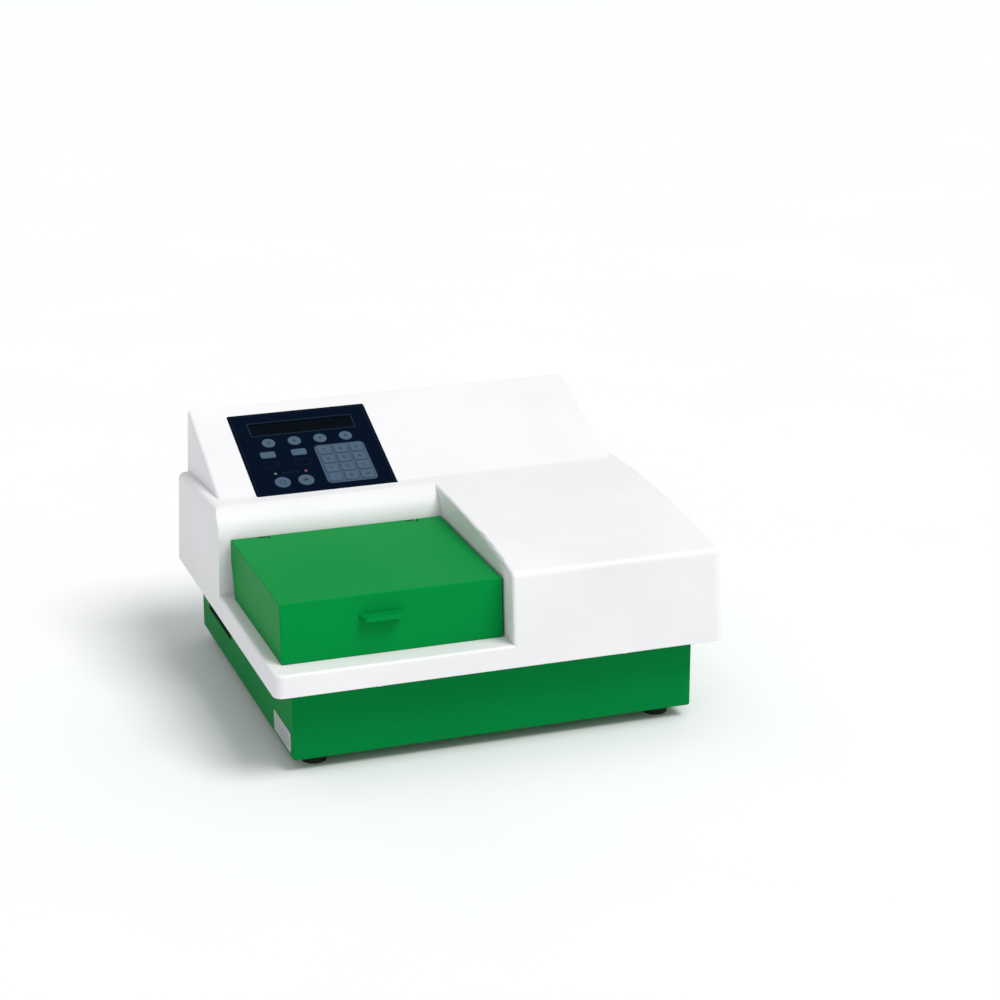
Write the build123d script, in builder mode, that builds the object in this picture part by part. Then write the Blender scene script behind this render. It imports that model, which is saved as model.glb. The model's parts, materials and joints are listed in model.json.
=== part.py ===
from build123d import *
from math import asin, cos, degrees, pi, radians, sin, sqrt, tan
import os

os.makedirs("parts", exist_ok=True)

# Bench microplate reader. X runs across the front, Y to the back, Z up, and the
# origin is on the bench under the middle of the case. All sizes are millimetres.

# ---------------------------------------------------------------- driving dimensions
# Upper case, a moulded shell
HOUSING_WIDTH = 440.0
HOUSING_DEPTH = 401.0
SHELL_WALL = 4.0
LEDGE_RISE = 21.5
CROWN_RISE = 104.4
CROWN_RADIUS = 1400.0
CROWN_SHIFT = 4.5
FRONT_LEAN = 3.9
SIDE_LEAN = 2.2
CORNER_RADIUS = 9.0
RIM_RADIUS = 3.0
BROW_RADIUS = 6.0
BOSS_RADIUS = 5.0
BOSS_OVERLAP = 1.0
BOSS_HEIGHT = 16.0
BOSS_SPACING_X = 240.0
BOSS_SPACING_Y = 280.0

# Recess at the front left, where the plate cover sits
RECESS_SIDE_X = 8.0
RECESS_DEPTH = 214.7
RECESS_DRAFT = 3.0
RECESS_ROLL = 30.0
RECESS_EDGE = 3.0
CHAMBER_SIDE_MARGIN = 10.3
CHAMBER_FRONT_MARGIN = 12.7
CHAMBER_CORNER = 6.0
PORT_TOP_RISE = 21.0
PORT_SIDE_GAP = 4.0

# Sloping console over the rear
CONSOLE_INSET = 14.5
CONSOLE_SLOPE = 21.3
CONSOLE_LEAN = 2.4
CONSOLE_RISE = 157.0
CONSOLE_EDGE = 3.0

# Lower case, folded sheet steel on rubber feet
FOOT_HEIGHT = 12.0
FOOT_RADIUS = 13.0
FOOT_DRAFT = 6.0
FOOT_INSET = 26.0
BASE_SIDE_INSET = 22.4
BASE_HEIGHT = 75.5
BASE_FRONT_INSET = 27.5
BASE_REAR_INSET = 12.8
BASE_SHEET = 1.5
BASE_BEND = 2.0
BASE_FLANGE = 14.0
VENT_WIDTH = 3.0
VENT_LENGTH = 34.0
VENT_PITCH = 8.0
VENT_COUNT = 12

# Connector bay in the lower case's left side
BAY_LENGTH = 96.0
BAY_HEIGHT = 30.0
BAY_DEPTH = 32.0
BAY_REAR_INSET = 28.2
BAY_SILL = 28.5
BAY_WALL = 2.0
BAY_LIP = 5.0
PORT_SHELL_WIDTH = 17.0
PORT_SHELL_HEIGHT = 8.5
PORT_SHELL_REACH = 6.0
PORT_FLANGE_WIDTH = 31.0
PORT_FLANGE_HEIGHT = 12.5
PORT_BODY_DEPTH = 8.0
PORT_CORNER = 2.0
PORT_SHIFT = 20.5
ENTRY_SHIFT = 64.5
ENTRY_FLANGE_LENGTH = 52.0
ENTRY_FLANGE_HEIGHT = 25.0
ENTRY_FLANGE = 2.0
ENTRY_CORNER = 2.0
ENTRY_BODY_LENGTH = 47.0
ENTRY_BODY_HEIGHT = 20.0
ENTRY_BODY_DEPTH = 26.0
INLET_LENGTH = 24.0
INLET_HEIGHT = 16.0
INLET_DEPTH = 15.0
INLET_SHIFT = 9.5
INLET_CHAMFER = 5.0
PIN_SPACING = 7.0
PIN_WIDTH = 2.0
PIN_HEIGHT = 4.0
EARTH_PIN_RISE = 2.0
ROCKER_LENGTH = 12.0
ROCKER_HEIGHT = 15.0
ROCKER_SHIFT = 13.5
ROCKER_DEPTH = 9.0
ROCKER_WAIST = 3.0
ROCKER_TILT = 8.0

# Chassis plate that closes the upper case and carries the works
CHASSIS_SHEET = 2.0
SCREW_RADIUS = 2.0
SCREW_HEAD_RADIUS = 3.5
SCREW_HEAD = 2.4
SCREW_LENGTH = 10.0
STANDOFF_RADIUS = 3.0
CABLE_HOLE = 16.0

# Plate cover, an inverted moulded box
COVER_GAP = 2.0
COVER_LEFT_INSET = 13.4
COVER_HEIGHT = 57.6
COVER_WALL = 3.0
COVER_FRONT_INSET = 25.8
COVER_LEAN = 3.3
COVER_REAR_LEAN = 15.3
COVER_EDGE = 1.2
COVER_LEFT_STEP = 10.6
COVER_RIGHT_STEP = 2.5
COVER_STEP = 3.0
LIP_LENGTH = 42.0
LIP_TIP_LENGTH = 34.0
LIP_REACH = 9.0
LIP_THICKNESS = 4.0
LIP_RISE = 34.5
LIP_SHIFT = -11.2

# Cover hinge along the rear top edge
HINGE_RADIUS = 5.0
HINGE_WALL_GAP = 1.5
HINGE_PIN_RADIUS = 1.5
HINGE_EYE_RADIUS = 3.6
HINGE_EYE_WIDTH = 10.0
HINGE_SPACING = 150.0
HINGE_ARM = 3.0
BRACKET_SHEET = 2.0
BRACKET_DROP = 18.0

# Plate transport
PLATE_LENGTH = 127.76
PLATE_WIDTH = 85.48
NEST_GAP = 0.4
NEST_WINDOW_LENGTH = 112.0
NEST_WINDOW_WIDTH = 74.0
NEST_FLOOR = 3.0
NEST_WALL = 5.2
CARRIAGE_LENGTH = 146.0
CARRIAGE_WIDTH = 112.0
CARRIAGE_CORNER = 5.0
CARRIAGE_LIFT = 1.5
FINGER_NOTCH = 30.0
LOAD_SETBACK = 92.2
READ_REACH = 144.0
TRAVEL_MARGIN = 11.0
DECK_SHEET = 1.5
DECK_MARGIN = 4.0
RAIL_RADIUS = 2.5
RAIL_SPACING = 96.0
RAIL_FRONT_INSET = 28.5
RAIL_REAR_INSET = 14.5
RAIL_BLOCK_WIDTH = 20.0
RAIL_BLOCK_DEPTH = 12.0
BUSH_RADIUS = 4.5
BUSH_LENGTH = 16.0
BUSH_SPACING = 90.0
BUSH_BLOCK_WIDTH = 16.0
BUSH_BLOCK_LENGTH = 22.0
LEG_WIDTH = 12.0
LEG_SLOT = 16.0
SPRING_SHEET = 0.5
SPRING_LENGTH = 40.0

# Belt drive
BELT_SHIFT = 80.0
BELT_PITCH = 2.0
BELT_WIDTH = 6.0
BELT_THICKNESS = 1.4
PULLEY_TEETH = 24
PULLEY_FLANGE_RADIUS = 9.3
PULLEY_FLANGE = 1.0
PULLEY_BORE = 2.5
PITCH_LINE_RISE = 0.35
TOOTH_DEPTH = 0.8
TOOTH_WIDTH = 1.0
DRIVE_INSET = 52.5
IDLER_INSET = 48.5
CLAMP_LENGTH = 18.0
CLAMP_WALL = 3.0
MOTOR_SIZE = 42.3
MOTOR_LENGTH = 34.0
MOTOR_CHAMFER = 4.0
MOTOR_PILOT_RADIUS = 11.0
MOTOR_PILOT = 2.0
MOTOR_HOLE_SPACING = 31.0
SENSOR_LENGTH = 14.0
SENSOR_WIDTH = 8.0
SENSOR_SLOT = 3.0
SENSOR_OVERLAP = 2.0
FLAG_THICKNESS = 1.0
FLAG_REACH = 12.0

# Optics
WELL_PITCH = 9.0
CHANNELS = 8
HEAD_DEPTH = 22.0
HEAD_HEIGHT = 14.0
HEAD_BASE_RISE = 20.2
HEAD_POST_SPACING = 126.0
HEAD_POST_WIDTH = 10.0
GUIDE_RADIUS = 1.0
GUIDE_PITCH = 2.6
GUIDE_LIFT = 8.0
GUIDE_BEND = 6.0
COLLECTOR_SHIFT = 78.0
COLLECTOR_LENGTH = 10.0
COLLECTOR_WIDTH = 12.0
COLLECTOR_HEIGHT = 26.0
BENCH_SHEET = 3.0
BENCH_DEPTH = 56.0
WHEEL_GAP = 3.0
WHEEL_THICKNESS = 4.0
WHEEL_RADIUS = 38.5
FILTER_CIRCLE = 28.0
FILTER_COUNT = 8
FILTER_RADIUS = 7.0
FILTER_THICKNESS = 3.0
WHEEL_SHAFT_RADIUS = 2.0
UPRIGHT_GAP = 4.0
FILTER_MOTOR_RADIUS = 17.0
FILTER_MOTOR_LENGTH = 18.0
LENS_RADIUS = 9.0
LENS_THICKNESS = 5.0
LENS_DOME = 14.0
LAMP_GAP = 22.0
LAMP_LENGTH = 44.0
LAMP_WIDTH = 44.0
LAMP_HEIGHT = 40.0
LAMP_BORE = 9.5
FIN_COUNT = 6
FIN_GAP = 3.0
FIN_DEPTH = 9.0
BULB_RADIUS = 5.5
BULB_LENGTH = 20.0
BULB_BASE = 12.0
DETECTOR_RADIUS = 2.2
DETECTOR_HEIGHT = 3.0
DETECTOR_BOARD_DEPTH = 24.0
DETECTOR_BOARD_WIDTH = 76.0

# Electronics
BOARD_SHEET = 1.6
MAIN_BOARD_LENGTH = 170.0
MAIN_BOARD_DEPTH = 150.0
MAIN_BOARD_SETBACK = 1.8
MAIN_BOARD_OVERHANG = 12.0
CHIP_SIZE = 28.0
CHIP_HEIGHT = 3.0
CAPACITOR_RADIUS = 8.0
CAPACITOR_HEIGHT = 22.0
CAPACITOR_PITCH = 24.0
CAPACITOR_COUNT = 3
TRANSFORMER_INSET = 76.3
TRANSFORMER_SETBACK = 206.0
CORE_LENGTH = 66.0
CORE_WIDTH = 34.0
CORE_HEIGHT = 52.0
COIL_WIDTH = 52.0
COIL_LENGTH = 40.0
COIL_HEIGHT = 36.0
COIL_CORNER = 6.0
FAN_INSET = 66.3
FAN_SIZE = 60.0
FAN_DEPTH = 15.0
FAN_CORNER = 3.5
FAN_ARMS = 3
FAN_ARM_TURN = 30.0
FAN_RADIUS = 28.0
FAN_HUB_RADIUS = 13.0
FAN_BLADES = 7
FAN_BLADE_ANGLE = 35.0
FAN_BLADE_SHEET = 1.4
FAN_TIP_GAP = 1.0
GRILLE_ARM = 2.5
GRILLE_RING = 8.0

# Control panel on the console
PANEL_WIDTH = 144.0
PANEL_LENGTH = 132.0
PANEL_LEFT_INSET = 52.6
PANEL_RUN = 142.3
PANEL_SHEET = 2.0
PANEL_PROUD = 0.4
PANEL_CORNER = 2.0
PANEL_RIM = 6.0
WINDOW_LEFT = 19.3
WINDOW_BOTTOM = 97.8
WINDOW_WIDTH = 104.7
WINDOW_HEIGHT = 16.9
WINDOW_SHEET = 1.5
KEY_PROUD = 0.7
KEY_FLANGE = 1.0
KEY_FLANGE_SHEET = 1.0
KEY_TRAVEL = 0.5
KEY_DOME = 0.4
ROUND_KEY_RADIUS = 6.75
ROUND_KEY_W = 82.8
ROUND_KEY_U = 31.6
ROUND_KEY_PITCH = 26.8
ROUND_KEY_COUNT = 4
BAR_KEY_WIDTH = 15.5
BAR_KEY_HEIGHT = 9.5
BAR_KEY_W = 64.4
BAR_KEY_U = 26.4
BAR_KEY_PITCH = 32.0
MAIN_KEY_RADIUS = 8.0
MAIN_KEY_W = 20.0
MAIN_KEY_U = 30.5
MAIN_KEY_PITCH = 24.0
DIGIT_KEY_WIDTH = 13.4
DIGIT_KEY_HEIGHT = 12.4
DIGIT_KEY_U = 101.2
DIGIT_KEY_W = 41.5
DIGIT_COLUMNS = 3
DIGIT_ROWS = 4
DIGIT_PITCH_U = 16.6
DIGIT_PITCH_W = 14.4
KEY_CORNER = 2.2
LAMP_DOT_RADIUS = 1.6
LAMP_DOT_W = 34.5
LAMP_DOT_U = 26.7
LAMP_DOT_PITCH = 31.2

# Clearances
SEAT_GAP = 0.3
RUNNING_GAP = 0.05
BELT_GAP = 0.1
KEY_GAP = 0.25
SLIDE_GAP = 1.0
OVERRUN = 1.0

# ---------------------------------------------------------------- derived levels
HOUSING_BOTTOM = FOOT_HEIGHT + BASE_HEIGHT
LEDGE_TOP = HOUSING_BOTTOM + LEDGE_RISE
LEDGE_UNDER = LEDGE_TOP - SHELL_WALL
CROWN_TOP = HOUSING_BOTTOM + CROWN_RISE
APEX_TOP = HOUSING_BOTTOM + CONSOLE_RISE
FRONT_Y = -HOUSING_DEPTH / 2
REAR_Y = HOUSING_DEPTH / 2
BASE_FRONT_Y = FRONT_Y + BASE_FRONT_INSET
BASE_REAR_Y = REAR_Y - BASE_REAR_INSET
BASE_MID_Y = (BASE_FRONT_Y + BASE_REAR_Y) / 2
BASE_WIDTH = HOUSING_WIDTH - 2 * BASE_SIDE_INSET
BASE_DEPTH = BASE_REAR_Y - BASE_FRONT_Y
BASE_FLOOR_TOP = FOOT_HEIGHT + BASE_SHEET
BASE_SIDE_X = -BASE_WIDTH / 2
ABOVE_ALL = APEX_TOP + HOUSING_DEPTH

CHASSIS_TOP = HOUSING_BOTTOM + CHASSIS_SHEET
COVER_RIGHT_X = RECESS_SIDE_X - COVER_GAP
COVER_LEFT_X = -HOUSING_WIDTH / 2 + COVER_LEFT_INSET
COVER_WIDTH = COVER_RIGHT_X - COVER_LEFT_X
COVER_FRONT_Y = FRONT_Y + COVER_FRONT_INSET
COVER_BOTTOM = LEDGE_TOP + SEAT_GAP
COVER_TOP = COVER_BOTTOM + COVER_HEIGHT
RECESS_REAR_Y = FRONT_Y + RECESS_DEPTH
RECESS_WALL_TOP = CROWN_TOP - RECESS_ROLL
CHAMBER_LEFT_X = COVER_LEFT_X + CHAMBER_SIDE_MARGIN
CHAMBER_RIGHT_X = COVER_RIGHT_X - CHAMBER_SIDE_MARGIN
CHAMBER_FRONT_Y = COVER_FRONT_Y + CHAMBER_FRONT_MARGIN


def recess_wall_y(z):
    """Where the recess's leaning rear wall stands at a height."""
    return RECESS_REAR_Y + (z - LEDGE_TOP) * tan(radians(RECESS_DRAFT))


HINGE_Z = COVER_TOP - HINGE_RADIUS
HINGE_Y = recess_wall_y(HINGE_Z) - HINGE_WALL_GAP - HINGE_RADIUS
TRACK_X = (COVER_LEFT_X + COVER_RIGHT_X) / 2
LOAD_Y = COVER_FRONT_Y + LOAD_SETBACK
READ_Y = LOAD_Y + READ_REACH
TRAVEL = REAR_Y - SHELL_WALL - TRAVEL_MARGIN - CARRIAGE_LENGTH / 2 - LOAD_Y
RAIL_FRONT_Y = FRONT_Y + RAIL_FRONT_INSET
RAIL_REAR_Y = REAR_Y - RAIL_REAR_INSET
DECK_TOP = LEDGE_UNDER - SEAT_GAP
DECK_BOTTOM = DECK_TOP - DECK_SHEET
RAIL_Z = (CHASSIS_TOP + DECK_BOTTOM) / 2
NEST_BOTTOM = DECK_TOP + CARRIAGE_LIFT
NEST_TOP = NEST_BOTTOM + NEST_FLOOR


# ---------------------------------------------------------------- upper case
def runs_upright(edge):
    """Whether an edge runs mostly up and down."""
    return abs(edge.tangent_at(0).Z) > cos(pi / 4)


def crown_z(y):
    """The crown's height at a depth."""
    return CROWN_TOP - CROWN_RADIUS + sqrt(CROWN_RADIUS**2 - (y - CROWN_SHIFT) ** 2)


def front_wall_y(z, inset):
    """Where the leaning front wall, or its inner face, stands at a height."""
    lean = radians(FRONT_LEAN)
    return FRONT_Y + inset / cos(lean) + (z - HOUSING_BOTTOM) * tan(lean)


def side_wall_x(z, inset):
    """How far out the leaning side walls, or their inner faces, stand at a height."""
    lean = radians(SIDE_LEAN)
    return HOUSING_WIDTH / 2 - inset / cos(lean) - (z - HOUSING_BOTTOM) * tan(lean)


def block_form(inset):
    """The crowned block with its leaning walls, drawn in by a wall for the cavity."""
    bottom = HOUSING_BOTTOM - inset
    low_half = side_wall_x(bottom, inset)
    high_half = side_wall_x(ABOVE_ALL, inset)
    with BuildPart() as block:
        with BuildSketch(Plane.YZ):
            with BuildLine():
                Polyline(
                    (front_wall_y(bottom, inset), bottom),
                    (front_wall_y(ABOVE_ALL, inset), ABOVE_ALL),
                    (REAR_Y - inset, ABOVE_ALL),
                    (REAR_Y - inset, bottom),
                    close=True,
                )
            make_face()
            with Locations((CROWN_SHIFT, CROWN_TOP - CROWN_RADIUS)):
                Circle(CROWN_RADIUS - inset, mode=Mode.INTERSECT)
        extrude(amount=HOUSING_WIDTH, both=True)
        with BuildSketch(Plane.XZ):
            with BuildLine():
                Polyline(
                    (-low_half, bottom),
                    (-high_half, ABOVE_ALL),
                    (high_half, ABOVE_ALL),
                    (low_half, bottom),
                    close=True,
                )
            make_face()
        extrude(amount=HOUSING_DEPTH, both=True, mode=Mode.INTERSECT)
    return block


def console_form(inset):
    """The sloping console, which rises out of the block's crown."""
    slope = radians(CONSOLE_SLOPE)
    rear = REAR_Y - inset
    peak = APEX_TOP - inset / cos(slope) - inset * tan(slope)
    foot = rear - (peak - HOUSING_BOTTOM) / tan(slope)
    half = HOUSING_WIDTH / 2 - CONSOLE_INSET - inset / cos(radians(CONSOLE_LEAN))
    lean = (APEX_TOP - CROWN_TOP) * tan(radians(CONSOLE_LEAN))
    drop = (CROWN_TOP - HOUSING_BOTTOM) * tan(radians(CONSOLE_LEAN))
    root = SHELL_WALL + BROW_RADIUS
    with BuildPart() as console:
        with BuildSketch(Plane.YZ):
            with BuildLine():
                Polyline(
                    (foot, HOUSING_BOTTOM),
                    (rear, peak),
                    (rear, HOUSING_BOTTOM),
                    close=True,
                )
            make_face()
        extrude(amount=HOUSING_WIDTH, both=True)
        with BuildSketch(Plane.XZ):
            with BuildLine():
                Polyline(
                    (-half - drop, HOUSING_BOTTOM),
                    (-half + lean, APEX_TOP),
                    (half - lean, APEX_TOP),
                    (half + drop, HOUSING_BOTTOM),
                    close=True,
                )
            make_face()
        extrude(amount=HOUSING_DEPTH, both=True, mode=Mode.INTERSECT)
        with BuildSketch(Plane.YZ):
            with BuildLine():
                Polyline(
                    (CROWN_SHIFT, crown_z(CROWN_SHIFT) - root),
                    (CROWN_SHIFT, ABOVE_ALL),
                    (REAR_Y, ABOVE_ALL),
                    (REAR_Y, crown_z(REAR_Y) - root),
                    close=True,
                )
            make_face()
        extrude(amount=HOUSING_WIDTH, both=True, mode=Mode.INTERSECT)
    return console


def recess_form(inset, floor):
    """The space cut out at the front left, with its rolled rear wall."""
    wall_y = recess_wall_y(RECESS_WALL_TOP)
    roll = RECESS_ROLL - inset
    centre = (wall_y + RECESS_ROLL, RECESS_WALL_TOP)
    foot = recess_wall_y(floor) + inset
    with BuildPart() as recess:
        with BuildSketch(Plane.YZ.offset(-HOUSING_WIDTH)):
            with BuildLine():
                Polyline(
                    (centre[0], ABOVE_ALL),
                    (-HOUSING_DEPTH, ABOVE_ALL),
                    (-HOUSING_DEPTH, floor),
                    (foot, floor),
                    (centre[0] - roll, centre[1]),
                )
                CenterArc(centre, roll, 180, -90)
                Line((centre[0], centre[1] + roll), (centre[0], ABOVE_ALL))
            make_face()
        extrude(amount=HOUSING_WIDTH + RECESS_SIDE_X + inset)
    return recess

outer_block = block_form(0.0)
with BuildPart() as rounded_block:
    add(outer_block.part)
    fillet(rounded_block.edges().filter_by(GeomType.LINE).filter_by(runs_upright), CORNER_RADIUS)

with BuildPart() as plinth:
    add(rounded_block.part)
    split(bisect_by=Plane.XY.offset(LEDGE_TOP), keep=Keep.BOTTOM)
    fillet(plinth.faces().sort_by(Axis.Z)[-1].edges(), RIM_RADIUS)

recess = recess_form(0.0, HOUSING_BOTTOM)
with BuildPart() as tall_block:
    add(rounded_block.part)
    fillet(tall_block.faces().sort_by(Axis.Z)[-1].edges(), BROW_RADIUS)
    add(recess.part, mode=Mode.SUBTRACT)
    cheek = tall_block.faces().filter_by(Axis.X).sort_by(Axis.X)[0]
    cheek_rim = cheek.edges().filter_by(lambda edge: edge.center().Z > LEDGE_TOP)
    fillet(cheek_rim.filter_by(lambda edge: edge.center().Y < HINGE_Y), RECESS_EDGE)

console = console_form(0.0)
with BuildPart() as rounded_console:
    add(console.part)
    fillet(rounded_console.edges().filter_by(lambda edge: edge.center().Z > CROWN_TOP), CONSOLE_EDGE)

cavity_block = block_form(SHELL_WALL)
cavity_recess = recess_form(SHELL_WALL, LEDGE_UNDER)
cavity_console = console_form(SHELL_WALL)
with BuildPart() as cavity:
    add(cavity_block.part)
    add(cavity_recess.part, mode=Mode.SUBTRACT)
    add(cavity_console.part)

# The control panel's own frame: x runs right and y up the slope from the panel's
# lower left corner, z stands out of the console.
PANEL_LEFT_X = -HOUSING_WIDTH / 2 + PANEL_LEFT_INSET
PANEL_FRONT_Y = REAR_Y - PANEL_RUN
PANEL_FRONT_Z = APEX_TOP - (REAR_Y - PANEL_FRONT_Y) * tan(radians(CONSOLE_SLOPE))
PANEL_PLANE = Plane(
    origin=(PANEL_LEFT_X, PANEL_FRONT_Y, PANEL_FRONT_Z),
    x_dir=(1, 0, 0),
    z_dir=(0, -sin(radians(CONSOLE_SLOPE)), cos(radians(CONSOLE_SLOPE))),
)
PANEL_BED = PANEL_PLANE.offset(PANEL_PROUD - PANEL_SHEET)
PANEL_MID_U = PANEL_WIDTH / 2
PANEL_MID_W = PANEL_LENGTH / 2
BOSS_X = HOUSING_WIDTH / 2 - SHELL_WALL - BOSS_RADIUS + BOSS_OVERLAP
BOSS_Y = HOUSING_DEPTH / 2 - SHELL_WALL - BOSS_RADIUS + BOSS_OVERLAP
SIDE_BOSSES = GridLocations(2 * BOSS_X, BOSS_SPACING_Y, 2, 2).locations
END_BOSSES = GridLocations(BOSS_SPACING_X, 2 * BOSS_Y, 2, 2).locations
BOSSES = SIDE_BOSSES + END_BOSSES
PORT_HALF_WIDTH = CARRIAGE_WIDTH / 2 + PORT_SIDE_GAP
COLLECTOR_X = RECESS_SIDE_X + COLLECTOR_SHIFT
WHEEL_X = COLLECTOR_X + COLLECTOR_LENGTH + WHEEL_GAP
UPRIGHT_X = WHEEL_X + WHEEL_THICKNESS + UPRIGHT_GAP
LAMP_X = UPRIGHT_X + BENCH_SHEET + LAMP_GAP
HINGE_XS = [TRACK_X - HINGE_SPACING / 2, TRACK_X + HINGE_SPACING / 2]

with BuildPart() as upper_housing:
    add(plinth.part)
    add(tall_block.part)
    add(rounded_console.part)
    add(cavity.part, mode=Mode.SUBTRACT)
    with BuildSketch(Plane.XY.offset(CHASSIS_TOP)):
        with Locations(BOSSES):
            Circle(BOSS_RADIUS)
    extrude(amount=BOSS_HEIGHT)
    with BuildSketch(Plane.XY.offset(CHASSIS_TOP)):
        with Locations(BOSSES):
            Circle(SCREW_RADIUS)
    extrude(amount=BOSS_HEIGHT - SHELL_WALL, mode=Mode.SUBTRACT)
    # Opening in the ledge over the deck, and the port the plate passes through
    with BuildSketch(Plane.XY.offset(LEDGE_UNDER - OVERRUN)):
        with BuildLine():
            Polyline(
                (CHAMBER_LEFT_X, CHAMBER_FRONT_Y),
                (CHAMBER_RIGHT_X, CHAMBER_FRONT_Y),
                (CHAMBER_RIGHT_X, HINGE_Y),
                (CHAMBER_LEFT_X, HINGE_Y),
                close=True,
            )
        make_face()
        chamber_corners = vertices()
        fillet(chamber_corners, CHAMBER_CORNER)
    extrude(amount=SHELL_WALL + 2 * OVERRUN, mode=Mode.SUBTRACT)
    with BuildSketch(Plane.XZ.offset(-RECESS_REAR_Y - 2 * SHELL_WALL)):
        with BuildLine():
            Polyline(
                (TRACK_X - PORT_HALF_WIDTH, LEDGE_UNDER - OVERRUN),
                (TRACK_X + PORT_HALF_WIDTH, LEDGE_UNDER - OVERRUN),
                (TRACK_X + PORT_HALF_WIDTH, LEDGE_TOP + PORT_TOP_RISE),
                (TRACK_X - PORT_HALF_WIDTH, LEDGE_TOP + PORT_TOP_RISE),
                close=True,
            )
        make_face()
    extrude(amount=RECESS_REAR_Y + 2 * SHELL_WALL - HINGE_Y + CHAMBER_CORNER, mode=Mode.SUBTRACT)
    # Windows for the hinge brackets
    with BuildSketch(Plane.XZ.offset(-HINGE_Y)):
        with Locations([(x, HINGE_Z) for x in HINGE_XS]):
            Rectangle(HINGE_EYE_WIDTH + 2 * SLIDE_GAP, HINGE_ARM + 2 * SLIDE_GAP)
    extrude(amount=-(HINGE_WALL_GAP + HINGE_RADIUS + 2 * SHELL_WALL), mode=Mode.SUBTRACT)
    # Seat for the control panel and the window behind it
    with BuildSketch(PANEL_BED):
        with Locations((PANEL_MID_U, PANEL_MID_W)):
            RectangleRounded(PANEL_WIDTH + 2 * SEAT_GAP, PANEL_LENGTH + 2 * SEAT_GAP, PANEL_CORNER)
    extrude(amount=2 * PANEL_SHEET, mode=Mode.SUBTRACT)
    with BuildSketch(PANEL_BED.offset(OVERRUN)):
        with Locations((PANEL_MID_U, PANEL_MID_W)):
            Rectangle(PANEL_WIDTH - 2 * PANEL_RIM, PANEL_LENGTH - 2 * PANEL_RIM)
    extrude(amount=-2 * SHELL_WALL, mode=Mode.SUBTRACT)
    # Louvres in the rear wall, behind the lamp
    with BuildSketch(Plane.XZ.offset(-REAR_Y - OVERRUN)):
        with Locations((LAMP_X + LAMP_LENGTH / 2, (LEDGE_TOP + CROWN_TOP) / 2)):
            with GridLocations(VENT_PITCH, VENT_PITCH, VENT_COUNT, 1):
                SlotOverall(VENT_LENGTH, VENT_WIDTH, rotation=90)
    extrude(amount=SHELL_WALL + 2 * OVERRUN, mode=Mode.SUBTRACT)
upper_housing.part.label = "upper_housing"
export_step(upper_housing.part, "parts/upper_housing.step")


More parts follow.
